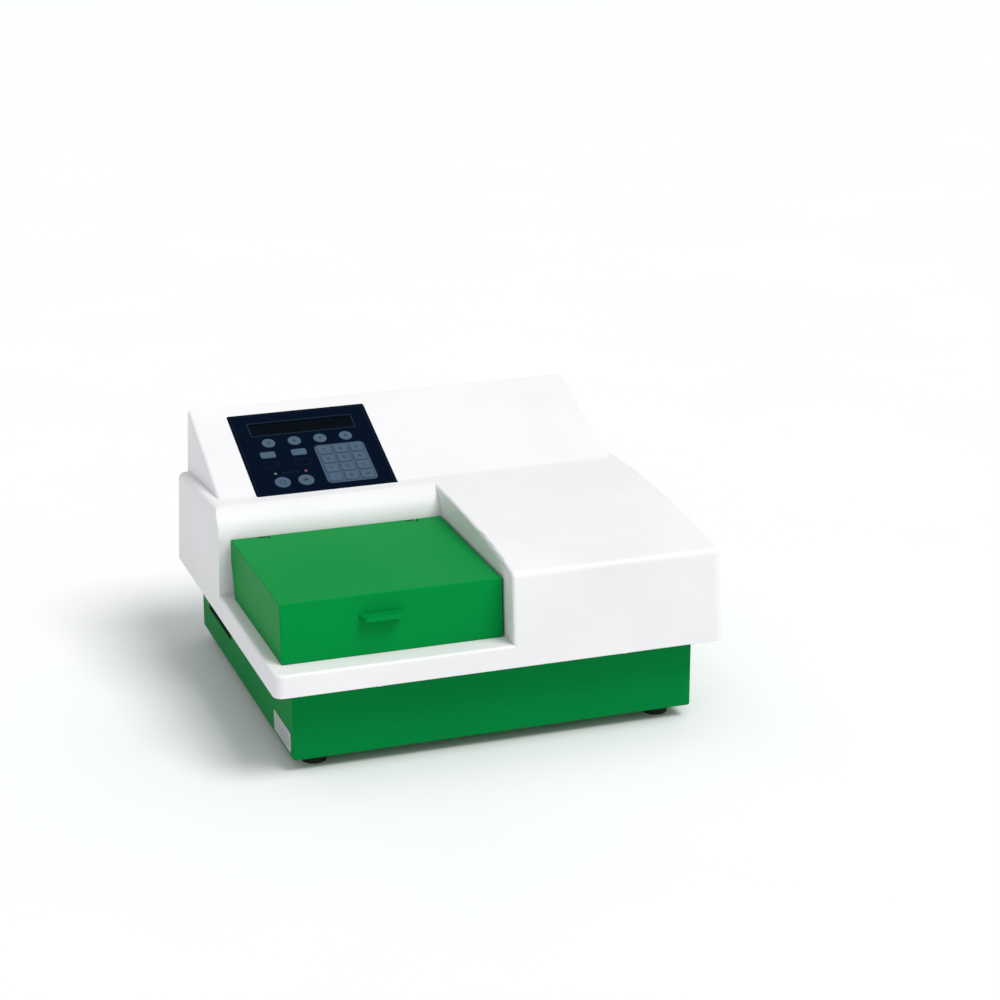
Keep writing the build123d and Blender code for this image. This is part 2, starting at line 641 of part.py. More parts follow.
# ---------------------------------------------------------------- plate cover
REAR_LEAN = (HINGE_Z - HINGE_RADIUS - COVER_BOTTOM) * tan(radians(COVER_REAR_LEAN))
COVER_REAR_Y = HINGE_Y + HINGE_RADIUS
LIP_X = TRACK_X + LIP_SHIFT
with BuildPart() as plate_cover:
    with BuildSketch(Plane.YZ.offset(COVER_LEFT_X)):
        with BuildLine():
            Polyline(
                (COVER_FRONT_Y, COVER_BOTTOM),
                (COVER_FRONT_Y + COVER_LEAN, COVER_TOP),
                (COVER_REAR_Y, COVER_TOP),
                (COVER_REAR_Y, HINGE_Z - HINGE_RADIUS),
                (COVER_REAR_Y - REAR_LEAN, COVER_BOTTOM),
                close=True,
            )
        make_face()
    extrude(amount=COVER_WIDTH)
    fillet(plate_cover.faces().sort_by(Axis.Z)[-1].edges().sort_by(Axis.Y)[-1], HINGE_RADIUS)
    top_front = plate_cover.edges().filter_by(lambda edge: edge.center().Z > COVER_TOP - OVERRUN)
    upright_front = plate_cover.faces().sort_by(Axis.Y)[0].edges().filter_by(runs_upright)
    fillet(top_front.filter_by(lambda edge: edge.center().Y < HINGE_Y - OVERRUN) + upright_front, COVER_EDGE)
    # Hollow, open below and behind, with a bead along the rear top edge
    with BuildSketch(Plane.YZ.offset(COVER_LEFT_X + COVER_WALL)):
        with BuildLine():
            Polyline(
                (COVER_FRONT_Y + COVER_WALL, COVER_BOTTOM - OVERRUN),
                (COVER_FRONT_Y + COVER_LEAN + COVER_WALL, COVER_TOP - COVER_WALL),
                (HINGE_Y - HINGE_RADIUS, COVER_TOP - COVER_WALL),
                (HINGE_Y - HINGE_RADIUS, HINGE_Z - HINGE_RADIUS),
                (COVER_REAR_Y + OVERRUN, HINGE_Z - HINGE_RADIUS),
                (COVER_REAR_Y + OVERRUN, COVER_BOTTOM - OVERRUN),
                close=True,
            )
        make_face()
    extrude(amount=COVER_WIDTH - 2 * COVER_WALL, mode=Mode.SUBTRACT)
    # Steps at the rear corners, and gaps in the bead for the bracket eyes
    with BuildSketch(Plane.XY.offset(COVER_BOTTOM)):
        with BuildLine():
            Polyline(
                (COVER_LEFT_X - OVERRUN, COVER_REAR_Y - COVER_STEP),
                (COVER_LEFT_X + COVER_LEFT_STEP, COVER_REAR_Y - COVER_STEP),
                (COVER_LEFT_X + COVER_LEFT_STEP, COVER_REAR_Y + OVERRUN),
                (COVER_LEFT_X - OVERRUN, COVER_REAR_Y + OVERRUN),
                close=True,
            )
        make_face()
        with BuildLine():
            Polyline(
                (COVER_RIGHT_X + OVERRUN, COVER_REAR_Y - COVER_STEP),
                (COVER_RIGHT_X - COVER_RIGHT_STEP, COVER_REAR_Y - COVER_STEP),
                (COVER_RIGHT_X - COVER_RIGHT_STEP, COVER_REAR_Y + OVERRUN),
                (COVER_RIGHT_X + OVERRUN, COVER_REAR_Y + OVERRUN),
                close=True,
            )
        make_face()
        with Locations([(x, HINGE_Y) for x in HINGE_XS]):
            Rectangle(HINGE_EYE_WIDTH + 2 * SLIDE_GAP, 2 * (HINGE_RADIUS + OVERRUN))
    extrude(amount=COVER_HEIGHT + OVERRUN, mode=Mode.SUBTRACT)
    with BuildSketch(Plane.YZ.offset(COVER_LEFT_X - OVERRUN)):
        with Locations((HINGE_Y, HINGE_Z)):
            Circle(HINGE_PIN_RADIUS + RUNNING_GAP)
    extrude(amount=COVER_WIDTH + 2 * OVERRUN, mode=Mode.SUBTRACT)
    # Pull lip across the front face
    with BuildSketch(Plane.XY.offset(COVER_BOTTOM + LIP_RISE)) as lip_plan:
        with BuildLine():
            Polyline(
                (LIP_X - LIP_LENGTH / 2, COVER_FRONT_Y + COVER_WALL),
                (LIP_X - LIP_LENGTH / 2, COVER_FRONT_Y + COVER_LEAN / 2),
                (LIP_X - LIP_TIP_LENGTH / 2, COVER_FRONT_Y - LIP_REACH),
                (LIP_X + LIP_TIP_LENGTH / 2, COVER_FRONT_Y - LIP_REACH),
                (LIP_X + LIP_LENGTH / 2, COVER_FRONT_Y + COVER_LEAN / 2),
                (LIP_X + LIP_LENGTH / 2, COVER_FRONT_Y + COVER_WALL),
                close=True,
            )
        make_face()
        fillet(lip_plan.vertices().group_by(Axis.Y)[0], LIP_THICKNESS)
    extrude(amount=LIP_THICKNESS)
plate_cover.part.label = "plate_cover"
export_step(plate_cover.part, "parts/plate_cover.step")

with BuildPart() as hinge_pin:
    with BuildSketch(Plane.YZ.offset(COVER_LEFT_X + COVER_WALL)):
        with Locations((HINGE_Y, HINGE_Z)):
            Circle(HINGE_PIN_RADIUS)
    extrude(amount=COVER_WIDTH - 2 * COVER_WALL)
hinge_pin.part.label = "hinge_pin"
export_step(hinge_pin.part, "parts/hinge_pin.step")

FLANGE_Y = recess_wall_y(HINGE_Z) + SHELL_WALL / cos(radians(RECESS_DRAFT)) + SEAT_GAP
FLANGE_FOOT_Y = FLANGE_Y - BRACKET_DROP * tan(radians(RECESS_DRAFT))
with BuildPart() as hinge_brackets:
    for eye_x in HINGE_XS:
        with BuildSketch(Plane.YZ.offset(eye_x - HINGE_EYE_WIDTH / 2)):
            with BuildLine():
                Polyline(
                    (FLANGE_FOOT_Y, HINGE_Z - BRACKET_DROP),
                    (FLANGE_Y, HINGE_Z),
                    (FLANGE_Y + BRACKET_SHEET, HINGE_Z),
                    (FLANGE_FOOT_Y + BRACKET_SHEET, HINGE_Z - BRACKET_DROP),
                    close=True,
                )
            make_face()
            with BuildLine():
                Polyline(
                    (HINGE_Y, HINGE_Z - HINGE_ARM / 2),
                    (HINGE_Y, HINGE_Z + HINGE_ARM / 2),
                    (FLANGE_Y + BRACKET_SHEET, HINGE_Z + HINGE_ARM / 2),
                    (FLANGE_Y + BRACKET_SHEET, HINGE_Z - HINGE_ARM / 2),
                    close=True,
                )
            make_face()
            with Locations((HINGE_Y, HINGE_Z)):
                Circle(HINGE_EYE_RADIUS)
                Circle(HINGE_PIN_RADIUS + RUNNING_GAP, mode=Mode.SUBTRACT)
        extrude(amount=HINGE_EYE_WIDTH)
hinge_brackets.part.label = "hinge_brackets"
export_step(hinge_brackets.part, "parts/hinge_brackets.step")


# ---------------------------------------------------------------- lower case
BAY_BOTTOM = FOOT_HEIGHT + BAY_SILL
BAY_FRONT_Y = BASE_REAR_Y - BAY_REAR_INSET - BAY_LENGTH
BAY_MID_Y = BAY_FRONT_Y + BAY_LENGTH / 2
BAY_MOUTH_X = BASE_SIDE_X + BASE_SHEET
BAY_BACK_X = BAY_MOUTH_X + BAY_DEPTH
PORT_Y = BAY_FRONT_Y + PORT_SHIFT
ENTRY_Y = BAY_FRONT_Y + ENTRY_SHIFT
BAY_MID_Z = BAY_BOTTOM + BAY_HEIGHT / 2
FAN_X = -BASE_SIDE_X - FAN_INSET
FAN_Z = BASE_FLOOR_TOP + SEAT_GAP + FAN_SIZE / 2
FAN_REAR_Y = BASE_REAR_Y - BASE_SHEET
MAIN_BOARD_Z = BAY_MID_Z - PORT_FLANGE_HEIGHT / 2 - BOARD_SHEET
MAIN_BOARD_X = BAY_BACK_X + BAY_WALL + MAIN_BOARD_SETBACK + MAIN_BOARD_LENGTH / 2
MAIN_BOARD_Y = PORT_Y + MAIN_BOARD_OVERHANG - MAIN_BOARD_DEPTH / 2
MAIN_BOARD_FRONT_Y = MAIN_BOARD_Y - MAIN_BOARD_DEPTH / 2
TRANSFORMER_X = -BASE_SIDE_X - TRANSFORMER_INSET
TRANSFORMER_Y = BASE_FRONT_Y + TRANSFORMER_SETBACK
TIE_X = BASE_WIDTH / 2 - BASE_FLANGE / 2
TIES = GridLocations(2 * TIE_X, BOSS_SPACING_Y, 2, 2).locations
BOARD_MARGIN = 2 * STANDOFF_RADIUS
FEET = GridLocations(
    BASE_WIDTH - 2 * FOOT_INSET, BASE_DEPTH - 2 * FOOT_INSET, 2, 2
).locations
BOARD_STANDOFFS = GridLocations(
    MAIN_BOARD_LENGTH - 2 * BOARD_MARGIN, MAIN_BOARD_DEPTH - 2 * BOARD_MARGIN, 2, 2
).locations

with BuildPart() as base_tray:
    with BuildSketch(Plane.XY.offset(FOOT_HEIGHT)):
        with Locations((0, BASE_MID_Y)):
            RectangleRounded(BASE_WIDTH, BASE_DEPTH, BASE_BEND)
    extrude(amount=BASE_HEIGHT)
    fillet(base_tray.faces().sort_by(Axis.Z)[0].edges(), BASE_BEND)
    with BuildSketch(Plane.XY.offset(BASE_FLOOR_TOP)):
        with Locations((0, BASE_MID_Y)):
            Rectangle(BASE_WIDTH - 2 * BASE_SHEET, BASE_DEPTH - 2 * BASE_SHEET)
    extrude(amount=BASE_HEIGHT - 2 * BASE_SHEET, mode=Mode.SUBTRACT)
    with BuildSketch(Plane.XY.offset(HOUSING_BOTTOM - 2 * BASE_SHEET)):
        with Locations((0, BASE_MID_Y)):
            Rectangle(BASE_WIDTH - 2 * BASE_FLANGE, BASE_DEPTH - 2 * BASE_FLANGE)
    extrude(amount=2 * BASE_SHEET + OVERRUN, mode=Mode.SUBTRACT)
    with BuildSketch(Plane.XY.offset(HOUSING_BOTTOM - 2 * BASE_SHEET)):
        with Locations(TIES):
            Circle(SCREW_RADIUS + RUNNING_GAP)
    extrude(amount=2 * BASE_SHEET + OVERRUN, mode=Mode.SUBTRACT)
    # Cut-out for the connector bay in the left side
    with BuildSketch(Plane.YZ.offset(BASE_SIDE_X - OVERRUN)):
        with Locations((BAY_MID_Y, BAY_MID_Z)):
            Rectangle(BAY_LENGTH, BAY_HEIGHT)
    extrude(amount=BASE_SHEET + 2 * OVERRUN, mode=Mode.SUBTRACT)
    # Fan outlet in the rear wall
    with BuildSketch(Plane.XZ.offset(-BASE_REAR_Y - OVERRUN)):
        with Locations((FAN_X, FAN_Z)):
            Circle(FAN_RADIUS)
            Rectangle(2 * FAN_RADIUS, GRILLE_ARM, mode=Mode.SUBTRACT)
            Rectangle(GRILLE_ARM, 2 * FAN_RADIUS, mode=Mode.SUBTRACT)
            with Locations((0, 0)):
                Circle(GRILLE_RING, mode=Mode.SUBTRACT)
    extrude(amount=BASE_SHEET + 2 * OVERRUN, mode=Mode.SUBTRACT)
    # Air inlet slots in the floor, under the transformer
    with BuildSketch(Plane.XY.offset(FOOT_HEIGHT - OVERRUN)):
        with Locations((TRANSFORMER_X, TRANSFORMER_Y - CORE_LENGTH)):
            with GridLocations(VENT_PITCH, VENT_PITCH, VENT_COUNT, 1):
                SlotOverall(VENT_LENGTH, VENT_WIDTH, rotation=90)
    extrude(amount=BASE_SHEET + 2 * OVERRUN, mode=Mode.SUBTRACT)
    # Pressed-in standoffs that carry the main board
    with BuildSketch(Plane.XY.offset(BASE_FLOOR_TOP)):
        with Locations((MAIN_BOARD_X, MAIN_BOARD_Y)):
            with Locations(BOARD_STANDOFFS):
                Circle(STANDOFF_RADIUS)
    extrude(amount=MAIN_BOARD_Z - BASE_FLOOR_TOP)
    with BuildSketch(Plane.XY.offset(FOOT_HEIGHT - OVERRUN)):
        with Locations((0, BASE_MID_Y)):
            with Locations(FEET):
                Circle(SCREW_RADIUS + RUNNING_GAP)
    extrude(amount=BASE_SHEET + 2 * OVERRUN, mode=Mode.SUBTRACT)
base_tray.part.label = "base_tray"
export_step(base_tray.part, "parts/base_tray.step")

FOOT_POCKET = SCREW_HEAD + BASE_SHEET
with BuildPart() as rubber_feet:
    with BuildSketch(Plane.XY.offset(FOOT_HEIGHT)):
        with Locations((0, BASE_MID_Y)):
            with Locations(FEET):
                Circle(FOOT_RADIUS)
    extrude(amount=-FOOT_HEIGHT, taper=FOOT_DRAFT)
    with BuildSketch():
        with Locations((0, BASE_MID_Y)):
            with Locations(FEET):
                Circle(SCREW_HEAD_RADIUS + SEAT_GAP)
    extrude(amount=FOOT_HEIGHT - FOOT_POCKET, mode=Mode.SUBTRACT)
    with BuildSketch():
        with Locations((0, BASE_MID_Y)):
            with Locations(FEET):
                Circle(SCREW_RADIUS + RUNNING_GAP)
    extrude(amount=FOOT_HEIGHT, mode=Mode.SUBTRACT)
rubber_feet.part.label = "rubber_feet"
export_step(rubber_feet.part, "parts/rubber_feet.step")

with BuildPart() as connector_bay:
    with BuildSketch(Plane.YZ.offset(BAY_MOUTH_X)):
        with Locations((BAY_MID_Y, BAY_MID_Z)):
            Rectangle(BAY_LENGTH + 2 * BAY_LIP, BAY_HEIGHT + 2 * BAY_LIP)
    extrude(amount=BAY_WALL)
    with BuildSketch(Plane.YZ.offset(BAY_MOUTH_X)):
        with Locations((BAY_MID_Y, BAY_MID_Z)):
            Rectangle(BAY_LENGTH + 2 * BAY_WALL, BAY_HEIGHT + 2 * BAY_WALL)
    extrude(amount=BAY_DEPTH + BAY_WALL)
    with BuildSketch(Plane.YZ.offset(BAY_MOUTH_X - OVERRUN)):
        with Locations((BAY_MID_Y, BAY_MID_Z)):
            Rectangle(BAY_LENGTH, BAY_HEIGHT)
    extrude(amount=BAY_DEPTH + OVERRUN, mode=Mode.SUBTRACT)
    with BuildSketch(Plane.YZ.offset(BAY_BACK_X - OVERRUN)):
        with Locations((PORT_Y, BAY_MID_Z)):
            Rectangle(PORT_SHELL_WIDTH + 2 * SEAT_GAP, PORT_SHELL_HEIGHT + 2 * SEAT_GAP)
        with Locations((ENTRY_Y, BAY_MID_Z)):
            Rectangle(ENTRY_BODY_LENGTH + 2 * SEAT_GAP, ENTRY_BODY_HEIGHT + 2 * SEAT_GAP)
    extrude(amount=BAY_WALL + 2 * OVERRUN, mode=Mode.SUBTRACT)
connector_bay.part.label = "connector_bay"
export_step(connector_bay.part, "parts/connector_bay.step")

# Mains inlet and switch in one snap-in body, looking out of the bay to the left
ENTRY_FACE_X = BAY_BACK_X - ENTRY_FLANGE
INLET_Y = ENTRY_Y + INLET_SHIFT
ROCKER_Y = ENTRY_Y - ROCKER_SHIFT
with BuildPart() as power_entry:
    with BuildSketch(Plane.YZ.offset(ENTRY_FACE_X)):
        with Locations((ENTRY_Y, BAY_MID_Z)):
            RectangleRounded(ENTRY_FLANGE_LENGTH, ENTRY_FLANGE_HEIGHT, ENTRY_CORNER)
    extrude(amount=ENTRY_FLANGE)
    with BuildSketch(Plane.YZ.offset(BAY_BACK_X)):
        with Locations((ENTRY_Y, BAY_MID_Z)):
            Rectangle(ENTRY_BODY_LENGTH, ENTRY_BODY_HEIGHT)
    extrude(amount=ENTRY_BODY_DEPTH)
    with BuildSketch(Plane.YZ.offset(ENTRY_FACE_X)) as inlet_mouth:
        with Locations((INLET_Y, BAY_MID_Z)):
            Rectangle(INLET_LENGTH, INLET_HEIGHT)
        chamfer(inlet_mouth.vertices().group_by(Axis.Z)[-1], INLET_CHAMFER)
    extrude(amount=INLET_DEPTH, mode=Mode.SUBTRACT)
    with BuildSketch(Plane.YZ.offset(ENTRY_FACE_X)):
        with Locations((INLET_Y, BAY_MID_Z)):
            with Locations((-PIN_SPACING, 0), (PIN_SPACING, 0), (0, EARTH_PIN_RISE)):
                Rectangle(PIN_WIDTH, PIN_HEIGHT)
    extrude(amount=INLET_DEPTH)
    with BuildSketch(Plane.YZ.offset(ENTRY_FACE_X)):
        with Locations((ROCKER_Y, BAY_MID_Z)):
            Rectangle(ROCKER_LENGTH + 2 * SEAT_GAP, ROCKER_HEIGHT + 2 * SEAT_GAP)
    extrude(amount=ROCKER_DEPTH + SLIDE_GAP, mode=Mode.SUBTRACT)
power_entry.part.label = "power_entry"
export_step(power_entry.part, "parts/power_entry.step")

# The rocker rests tilted to its off side and turns about the middle of its depth
ROCKER_PIVOT_X = ENTRY_FACE_X + ROCKER_DEPTH / 2
ROCKER_TIP = ROCKER_HEIGHT / 2 - SLIDE_GAP
ROCKER_PLANE = Plane(
    origin=(ROCKER_PIVOT_X, ROCKER_Y + ROCKER_LENGTH / 2, BAY_MID_Z),
    x_dir=(cos(radians(ROCKER_TILT)), 0, sin(radians(ROCKER_TILT))),
    z_dir=(0, -1, 0),
)
with BuildPart() as power_rocker:
    with BuildSketch(ROCKER_PLANE):
        with BuildLine():
            Polyline(
                (0, -ROCKER_TIP),
                (-ROCKER_DEPTH / 2, -ROCKER_TIP + SLIDE_GAP),
                (-ROCKER_WAIST, 0),
                (-ROCKER_DEPTH / 2, ROCKER_TIP - SLIDE_GAP),
                (0, ROCKER_TIP),
                (ROCKER_WAIST, 0),
                close=True,
            )
        make_face()
    extrude(amount=ROCKER_LENGTH)
power_rocker.part.label = "power_rocker"
export_step(power_rocker.part, "parts/power_rocker.step")

with BuildPart() as main_board:
    with BuildSketch(Plane.XY.offset(MAIN_BOARD_Z)):
        with Locations((MAIN_BOARD_X, MAIN_BOARD_Y)):
            Rectangle(MAIN_BOARD_LENGTH, MAIN_BOARD_DEPTH)
    extrude(amount=BOARD_SHEET)
    with BuildSketch(Plane.XY.offset(MAIN_BOARD_Z + BOARD_SHEET)):
        with Locations((MAIN_BOARD_X, MAIN_BOARD_Y)):
            with GridLocations(2 * CHIP_SIZE, 2 * CHIP_SIZE, 2, 2):
                Rectangle(CHIP_SIZE, CHIP_SIZE)
    extrude(amount=CHIP_HEIGHT)
    with BuildSketch(Plane.XY.offset(MAIN_BOARD_Z + BOARD_SHEET)):
        with Locations((MAIN_BOARD_X, MAIN_BOARD_FRONT_Y + 2 * CAPACITOR_RADIUS)):
            with GridLocations(CAPACITOR_PITCH, 0, CAPACITOR_COUNT, 1):
                Circle(CAPACITOR_RADIUS)
    extrude(amount=CAPACITOR_HEIGHT)
    # Data port: its flange lies on the bay's back, its shell reaches through
    with BuildSketch(Plane.YZ.offset(BAY_BACK_X + BAY_WALL + SEAT_GAP)):
        with Locations((PORT_Y, BAY_MID_Z)):
            Rectangle(PORT_FLANGE_WIDTH, PORT_FLANGE_HEIGHT)
    extrude(amount=PORT_BODY_DEPTH)
    with BuildSketch(Plane.YZ.offset(BAY_BACK_X - PORT_SHELL_REACH / 2)):
        with Locations((PORT_Y, BAY_MID_Z)):
            RectangleRounded(PORT_SHELL_WIDTH, PORT_SHELL_HEIGHT, PORT_CORNER)
    extrude(amount=PORT_SHELL_REACH)
main_board.part.label = "main_board"
export_step(main_board.part, "parts/main_board.step")

with BuildPart() as transformer:
    with BuildSketch(Plane.XY.offset(BASE_FLOOR_TOP)):
        with Locations((TRANSFORMER_X, TRANSFORMER_Y)):
            Rectangle(CORE_LENGTH, CORE_WIDTH)
    extrude(amount=CORE_HEIGHT)
    with BuildSketch(Plane.XY.offset(BASE_FLOOR_TOP + (CORE_HEIGHT - COIL_HEIGHT) / 2)):
        with Locations((TRANSFORMER_X, TRANSFORMER_Y)):
            RectangleRounded(COIL_LENGTH, COIL_WIDTH, COIL_CORNER)
    extrude(amount=COIL_HEIGHT)
transformer.part.label = "transformer"
export_step(transformer.part, "parts/transformer.step")

with BuildPart() as cooling_fan:
    with BuildSketch(Plane.XZ.offset(-FAN_REAR_Y)):
        with Locations((FAN_X, FAN_Z)):
            RectangleRounded(FAN_SIZE, FAN_SIZE, FAN_CORNER)
            Circle(FAN_RADIUS, mode=Mode.SUBTRACT)
            Circle(FAN_HUB_RADIUS)
            with PolarLocations((FAN_RADIUS + FAN_HUB_RADIUS) / 2, FAN_ARMS, start_angle=FAN_ARM_TURN):
                Rectangle(FAN_RADIUS - FAN_HUB_RADIUS + 2 * OVERRUN, GRILLE_ARM)
            Circle(WHEEL_SHAFT_RADIUS + RUNNING_GAP, mode=Mode.SUBTRACT)
    extrude(amount=BASE_SHEET + OVERRUN)
    with BuildSketch(Plane.XZ.offset(-FAN_REAR_Y)):
        with Locations((FAN_X, FAN_Z)):
            RectangleRounded(FAN_SIZE, FAN_SIZE, FAN_CORNER)
            Circle(FAN_RADIUS, mode=Mode.SUBTRACT)
    extrude(amount=FAN_DEPTH)
cooling_fan.part.label = "cooling_fan"
export_step(cooling_fan.part, "parts/cooling_fan.step")

ROTOR_FRONT_Y = FAN_REAR_Y - FAN_DEPTH
ROTOR_REAR_Y = FAN_REAR_Y - BASE_SHEET - OVERRUN - SLIDE_GAP
ROTOR_DEPTH = ROTOR_REAR_Y - ROTOR_FRONT_Y
BLADE_LENGTH = FAN_RADIUS - FAN_TIP_GAP - FAN_HUB_RADIUS + OVERRUN
FAN_AXIS = Plane(origin=(FAN_X, ROTOR_REAR_Y, FAN_Z), x_dir=(1, 0, 0), z_dir=(0, -1, 0))
with BuildPart() as fan_rotor:
    with BuildSketch(FAN_AXIS):
        Circle(FAN_HUB_RADIUS)
    extrude(amount=ROTOR_DEPTH)
    with BuildSketch(FAN_AXIS):
        Circle(WHEEL_SHAFT_RADIUS)
    extrude(amount=-SLIDE_GAP - BASE_SHEET)
    for blade in range(FAN_BLADES):
        turn = 2 * pi * blade / FAN_BLADES
        outward = (cos(turn), 0, sin(turn))
        root = FAN_HUB_RADIUS - OVERRUN
        mid_y = ROTOR_REAR_Y - ROTOR_DEPTH / 2
        blade_root = Plane(
            origin=(FAN_X + root * cos(turn), mid_y, FAN_Z + root * sin(turn)),
            x_dir=(0, -1, 0),
            z_dir=outward,
        )
        with BuildSketch(blade_root):
            Rectangle(ROTOR_DEPTH - 2 * OVERRUN, FAN_BLADE_SHEET, rotation=FAN_BLADE_ANGLE)
        extrude(amount=BLADE_LENGTH)
fan_rotor.part.label = "fan_rotor"
export_step(fan_rotor.part, "parts/fan_rotor.step")


# ---------------------------------------------------------------- chassis and drive
BELT_X = TRACK_X + BELT_SHIFT
DRIVE_Y = REAR_Y - DRIVE_INSET
IDLER_Y = FRONT_Y + IDLER_INSET
PULLEY_RADIUS = PULLEY_TEETH * BELT_PITCH / (2 * pi) - PITCH_LINE_RISE
BELT_INNER = PULLEY_RADIUS + BELT_GAP
BELT_RUN_X = BELT_X - BELT_INNER - BELT_THICKNESS / 2
BELT_BOTTOM = RAIL_Z - BELT_WIDTH / 2
PULLEY_BOTTOM = BELT_BOTTOM - BELT_GAP - PULLEY_FLANGE
PULLEY_HEIGHT = BELT_WIDTH + 2 * (BELT_GAP + PULLEY_FLANGE)
CHASSIS_CORNER = 9.0
CHASSIS_HALF_WIDTH = side_wall_x(CHASSIS_TOP, SHELL_WALL) - SEAT_GAP
CHASSIS_HALF_DEPTH = -front_wall_y(CHASSIS_TOP, SHELL_WALL) - SEAT_GAP
MOTOR_SCREWS = GridLocations(MOTOR_HOLE_SPACING, MOTOR_HOLE_SPACING, 2, 2).locations
READ_BOARD_Z = DECK_BOTTOM - DETECTOR_HEIGHT - BOARD_SHEET - SEAT_GAP
with BuildPart() as chassis_plate:
    with BuildSketch(Plane.XY.offset(HOUSING_BOTTOM)):
        RectangleRounded(2 * CHASSIS_HALF_WIDTH, 2 * CHASSIS_HALF_DEPTH, CHASSIS_CORNER)
        with Locations(BOSSES + TIES):
            Circle(SCREW_RADIUS + RUNNING_GAP, mode=Mode.SUBTRACT)
        with Locations((BELT_X, DRIVE_Y)):
            Circle(MOTOR_PILOT_RADIUS + SEAT_GAP, mode=Mode.SUBTRACT)
            with Locations(MOTOR_SCREWS):
                Circle(SCREW_RADIUS + RUNNING_GAP, mode=Mode.SUBTRACT)
        with Locations((TRANSFORMER_X, TRANSFORMER_Y + CORE_LENGTH), (TRACK_X, READ_Y + CORE_LENGTH)):
            Circle(CABLE_HOLE, mode=Mode.SUBTRACT)
    extrude(amount=CHASSIS_SHEET)
    # Pressed-in stud for the idler, and standoffs under the detector board
    with BuildSketch(Plane.XY.offset(CHASSIS_TOP)):
        with Locations((BELT_X, IDLER_Y)):
            Circle(PULLEY_BORE)
    extrude(amount=PULLEY_BOTTOM + PULLEY_HEIGHT + SLIDE_GAP - CHASSIS_TOP)
    with BuildSketch(Plane.XY.offset(CHASSIS_TOP)):
        with Locations((TRACK_X, READ_Y)):
            with GridLocations(DETECTOR_BOARD_WIDTH - 2 * STANDOFF_RADIUS, 1, 2, 1):
                Circle(STANDOFF_RADIUS)
    extrude(amount=READ_BOARD_Z - CHASSIS_TOP)
chassis_plate.part.label = "chassis_plate"
export_step(chassis_plate.part, "parts/chassis_plate.step")


def screw_cluster(seats, seat_z, direction, length):
    """Pan-head screws with their heads seated at one level, pointing up or down."""
    with BuildPart() as cluster:
        with BuildSketch(Plane.XY.offset(seat_z)):
            with Locations(seats):
                Circle(SCREW_HEAD_RADIUS)
        extrude(amount=-direction * SCREW_HEAD)
        with BuildSketch(Plane.XY.offset(seat_z)):
            with Locations(seats):
                Circle(SCREW_RADIUS)
        extrude(amount=direction * length)
    return cluster


FOOT_SEATS = [Location((0, BASE_MID_Y)) * foot for foot in FEET]
MOTOR_SEATS = [Location((BELT_X, DRIVE_Y)) * hole for hole in MOTOR_SCREWS]
shell_screws = screw_cluster(BOSSES, HOUSING_BOTTOM, 1, SCREW_LENGTH)
tie_screws = screw_cluster(TIES, CHASSIS_TOP, -1, CHASSIS_SHEET + BASE_SHEET + SCREW_HEAD)
motor_screws = screw_cluster(MOTOR_SEATS, CHASSIS_TOP, -1, CHASSIS_SHEET)
foot_screws = screw_cluster(FOOT_SEATS, FOOT_HEIGHT - FOOT_POCKET, 1, FOOT_POCKET + BASE_SHEET + SCREW_HEAD)
with BuildPart() as case_screws:
    add(shell_screws.part)
    add(tie_screws.part)
    add(motor_screws.part)
    add(foot_screws.part)
case_screws.part.label = "case_screws"
export_step(case_screws.part, "parts/case_screws.step")

with BuildPart() as carriage_motor:
    with BuildSketch(Plane.XY.offset(HOUSING_BOTTOM)) as motor_face:
        with Locations((BELT_X, DRIVE_Y)):
            Rectangle(MOTOR_SIZE, MOTOR_SIZE)
        chamfer(motor_face.vertices(), MOTOR_CHAMFER)
    extrude(amount=-MOTOR_LENGTH)
    with BuildSketch(Plane.XY.offset(HOUSING_BOTTOM)):
        with Locations((BELT_X, DRIVE_Y)):
            Circle(MOTOR_PILOT_RADIUS)
    extrude(amount=MOTOR_PILOT)
    with BuildSketch(Plane.XY.offset(HOUSING_BOTTOM + MOTOR_PILOT)):
        with Locations((BELT_X, DRIVE_Y)):
            Circle(PULLEY_BORE + RUNNING_GAP)
    extrude(amount=-MOTOR_LENGTH / 2, mode=Mode.SUBTRACT)
carriage_motor.part.label = "carriage_motor"
export_step(carriage_motor.part, "parts/carriage_motor.step")


def toothed_pulley(centre, bore):
    """A belt pulley with two flanges, standing on its lower flange."""
    with BuildPart() as pulley:
        with BuildSketch(Plane.XY.offset(PULLEY_BOTTOM)):
            with Locations(centre):
                Circle(PULLEY_RADIUS)
                with PolarLocations(PULLEY_RADIUS, PULLEY_TEETH):
                    Rectangle(2 * TOOTH_DEPTH, TOOTH_WIDTH, mode=Mode.SUBTRACT)
        extrude(amount=PULLEY_HEIGHT)
        for flange_z in (PULLEY_BOTTOM, PULLEY_BOTTOM + PULLEY_HEIGHT - PULLEY_FLANGE):
            with BuildSketch(Plane.XY.offset(flange_z)):
                with Locations(centre):
                    Circle(PULLEY_FLANGE_RADIUS)
            extrude(amount=PULLEY_FLANGE)
        with BuildSketch(Plane.XY.offset(PULLEY_BOTTOM)):
            with Locations(centre):
                Circle(bore)
        extrude(amount=PULLEY_HEIGHT, mode=Mode.SUBTRACT)
    return pulley


drive_wheel = toothed_pulley((BELT_X, DRIVE_Y), PULLEY_BORE)
with BuildPart() as drive_pulley:
    add(drive_wheel.part)
    with BuildSketch(Plane.XY.offset(HOUSING_BOTTOM + MOTOR_PILOT - MOTOR_LENGTH / 2)):
        with Locations((BELT_X, DRIVE_Y)):
            Circle(PULLEY_BORE)
    extrude(amount=MOTOR_LENGTH / 2 - MOTOR_PILOT + PULLEY_BOTTOM + PULLEY_HEIGHT - HOUSING_BOTTOM)
drive_pulley.part.label = "drive_pulley"
export_step(drive_pulley.part, "parts/drive_pulley.step")

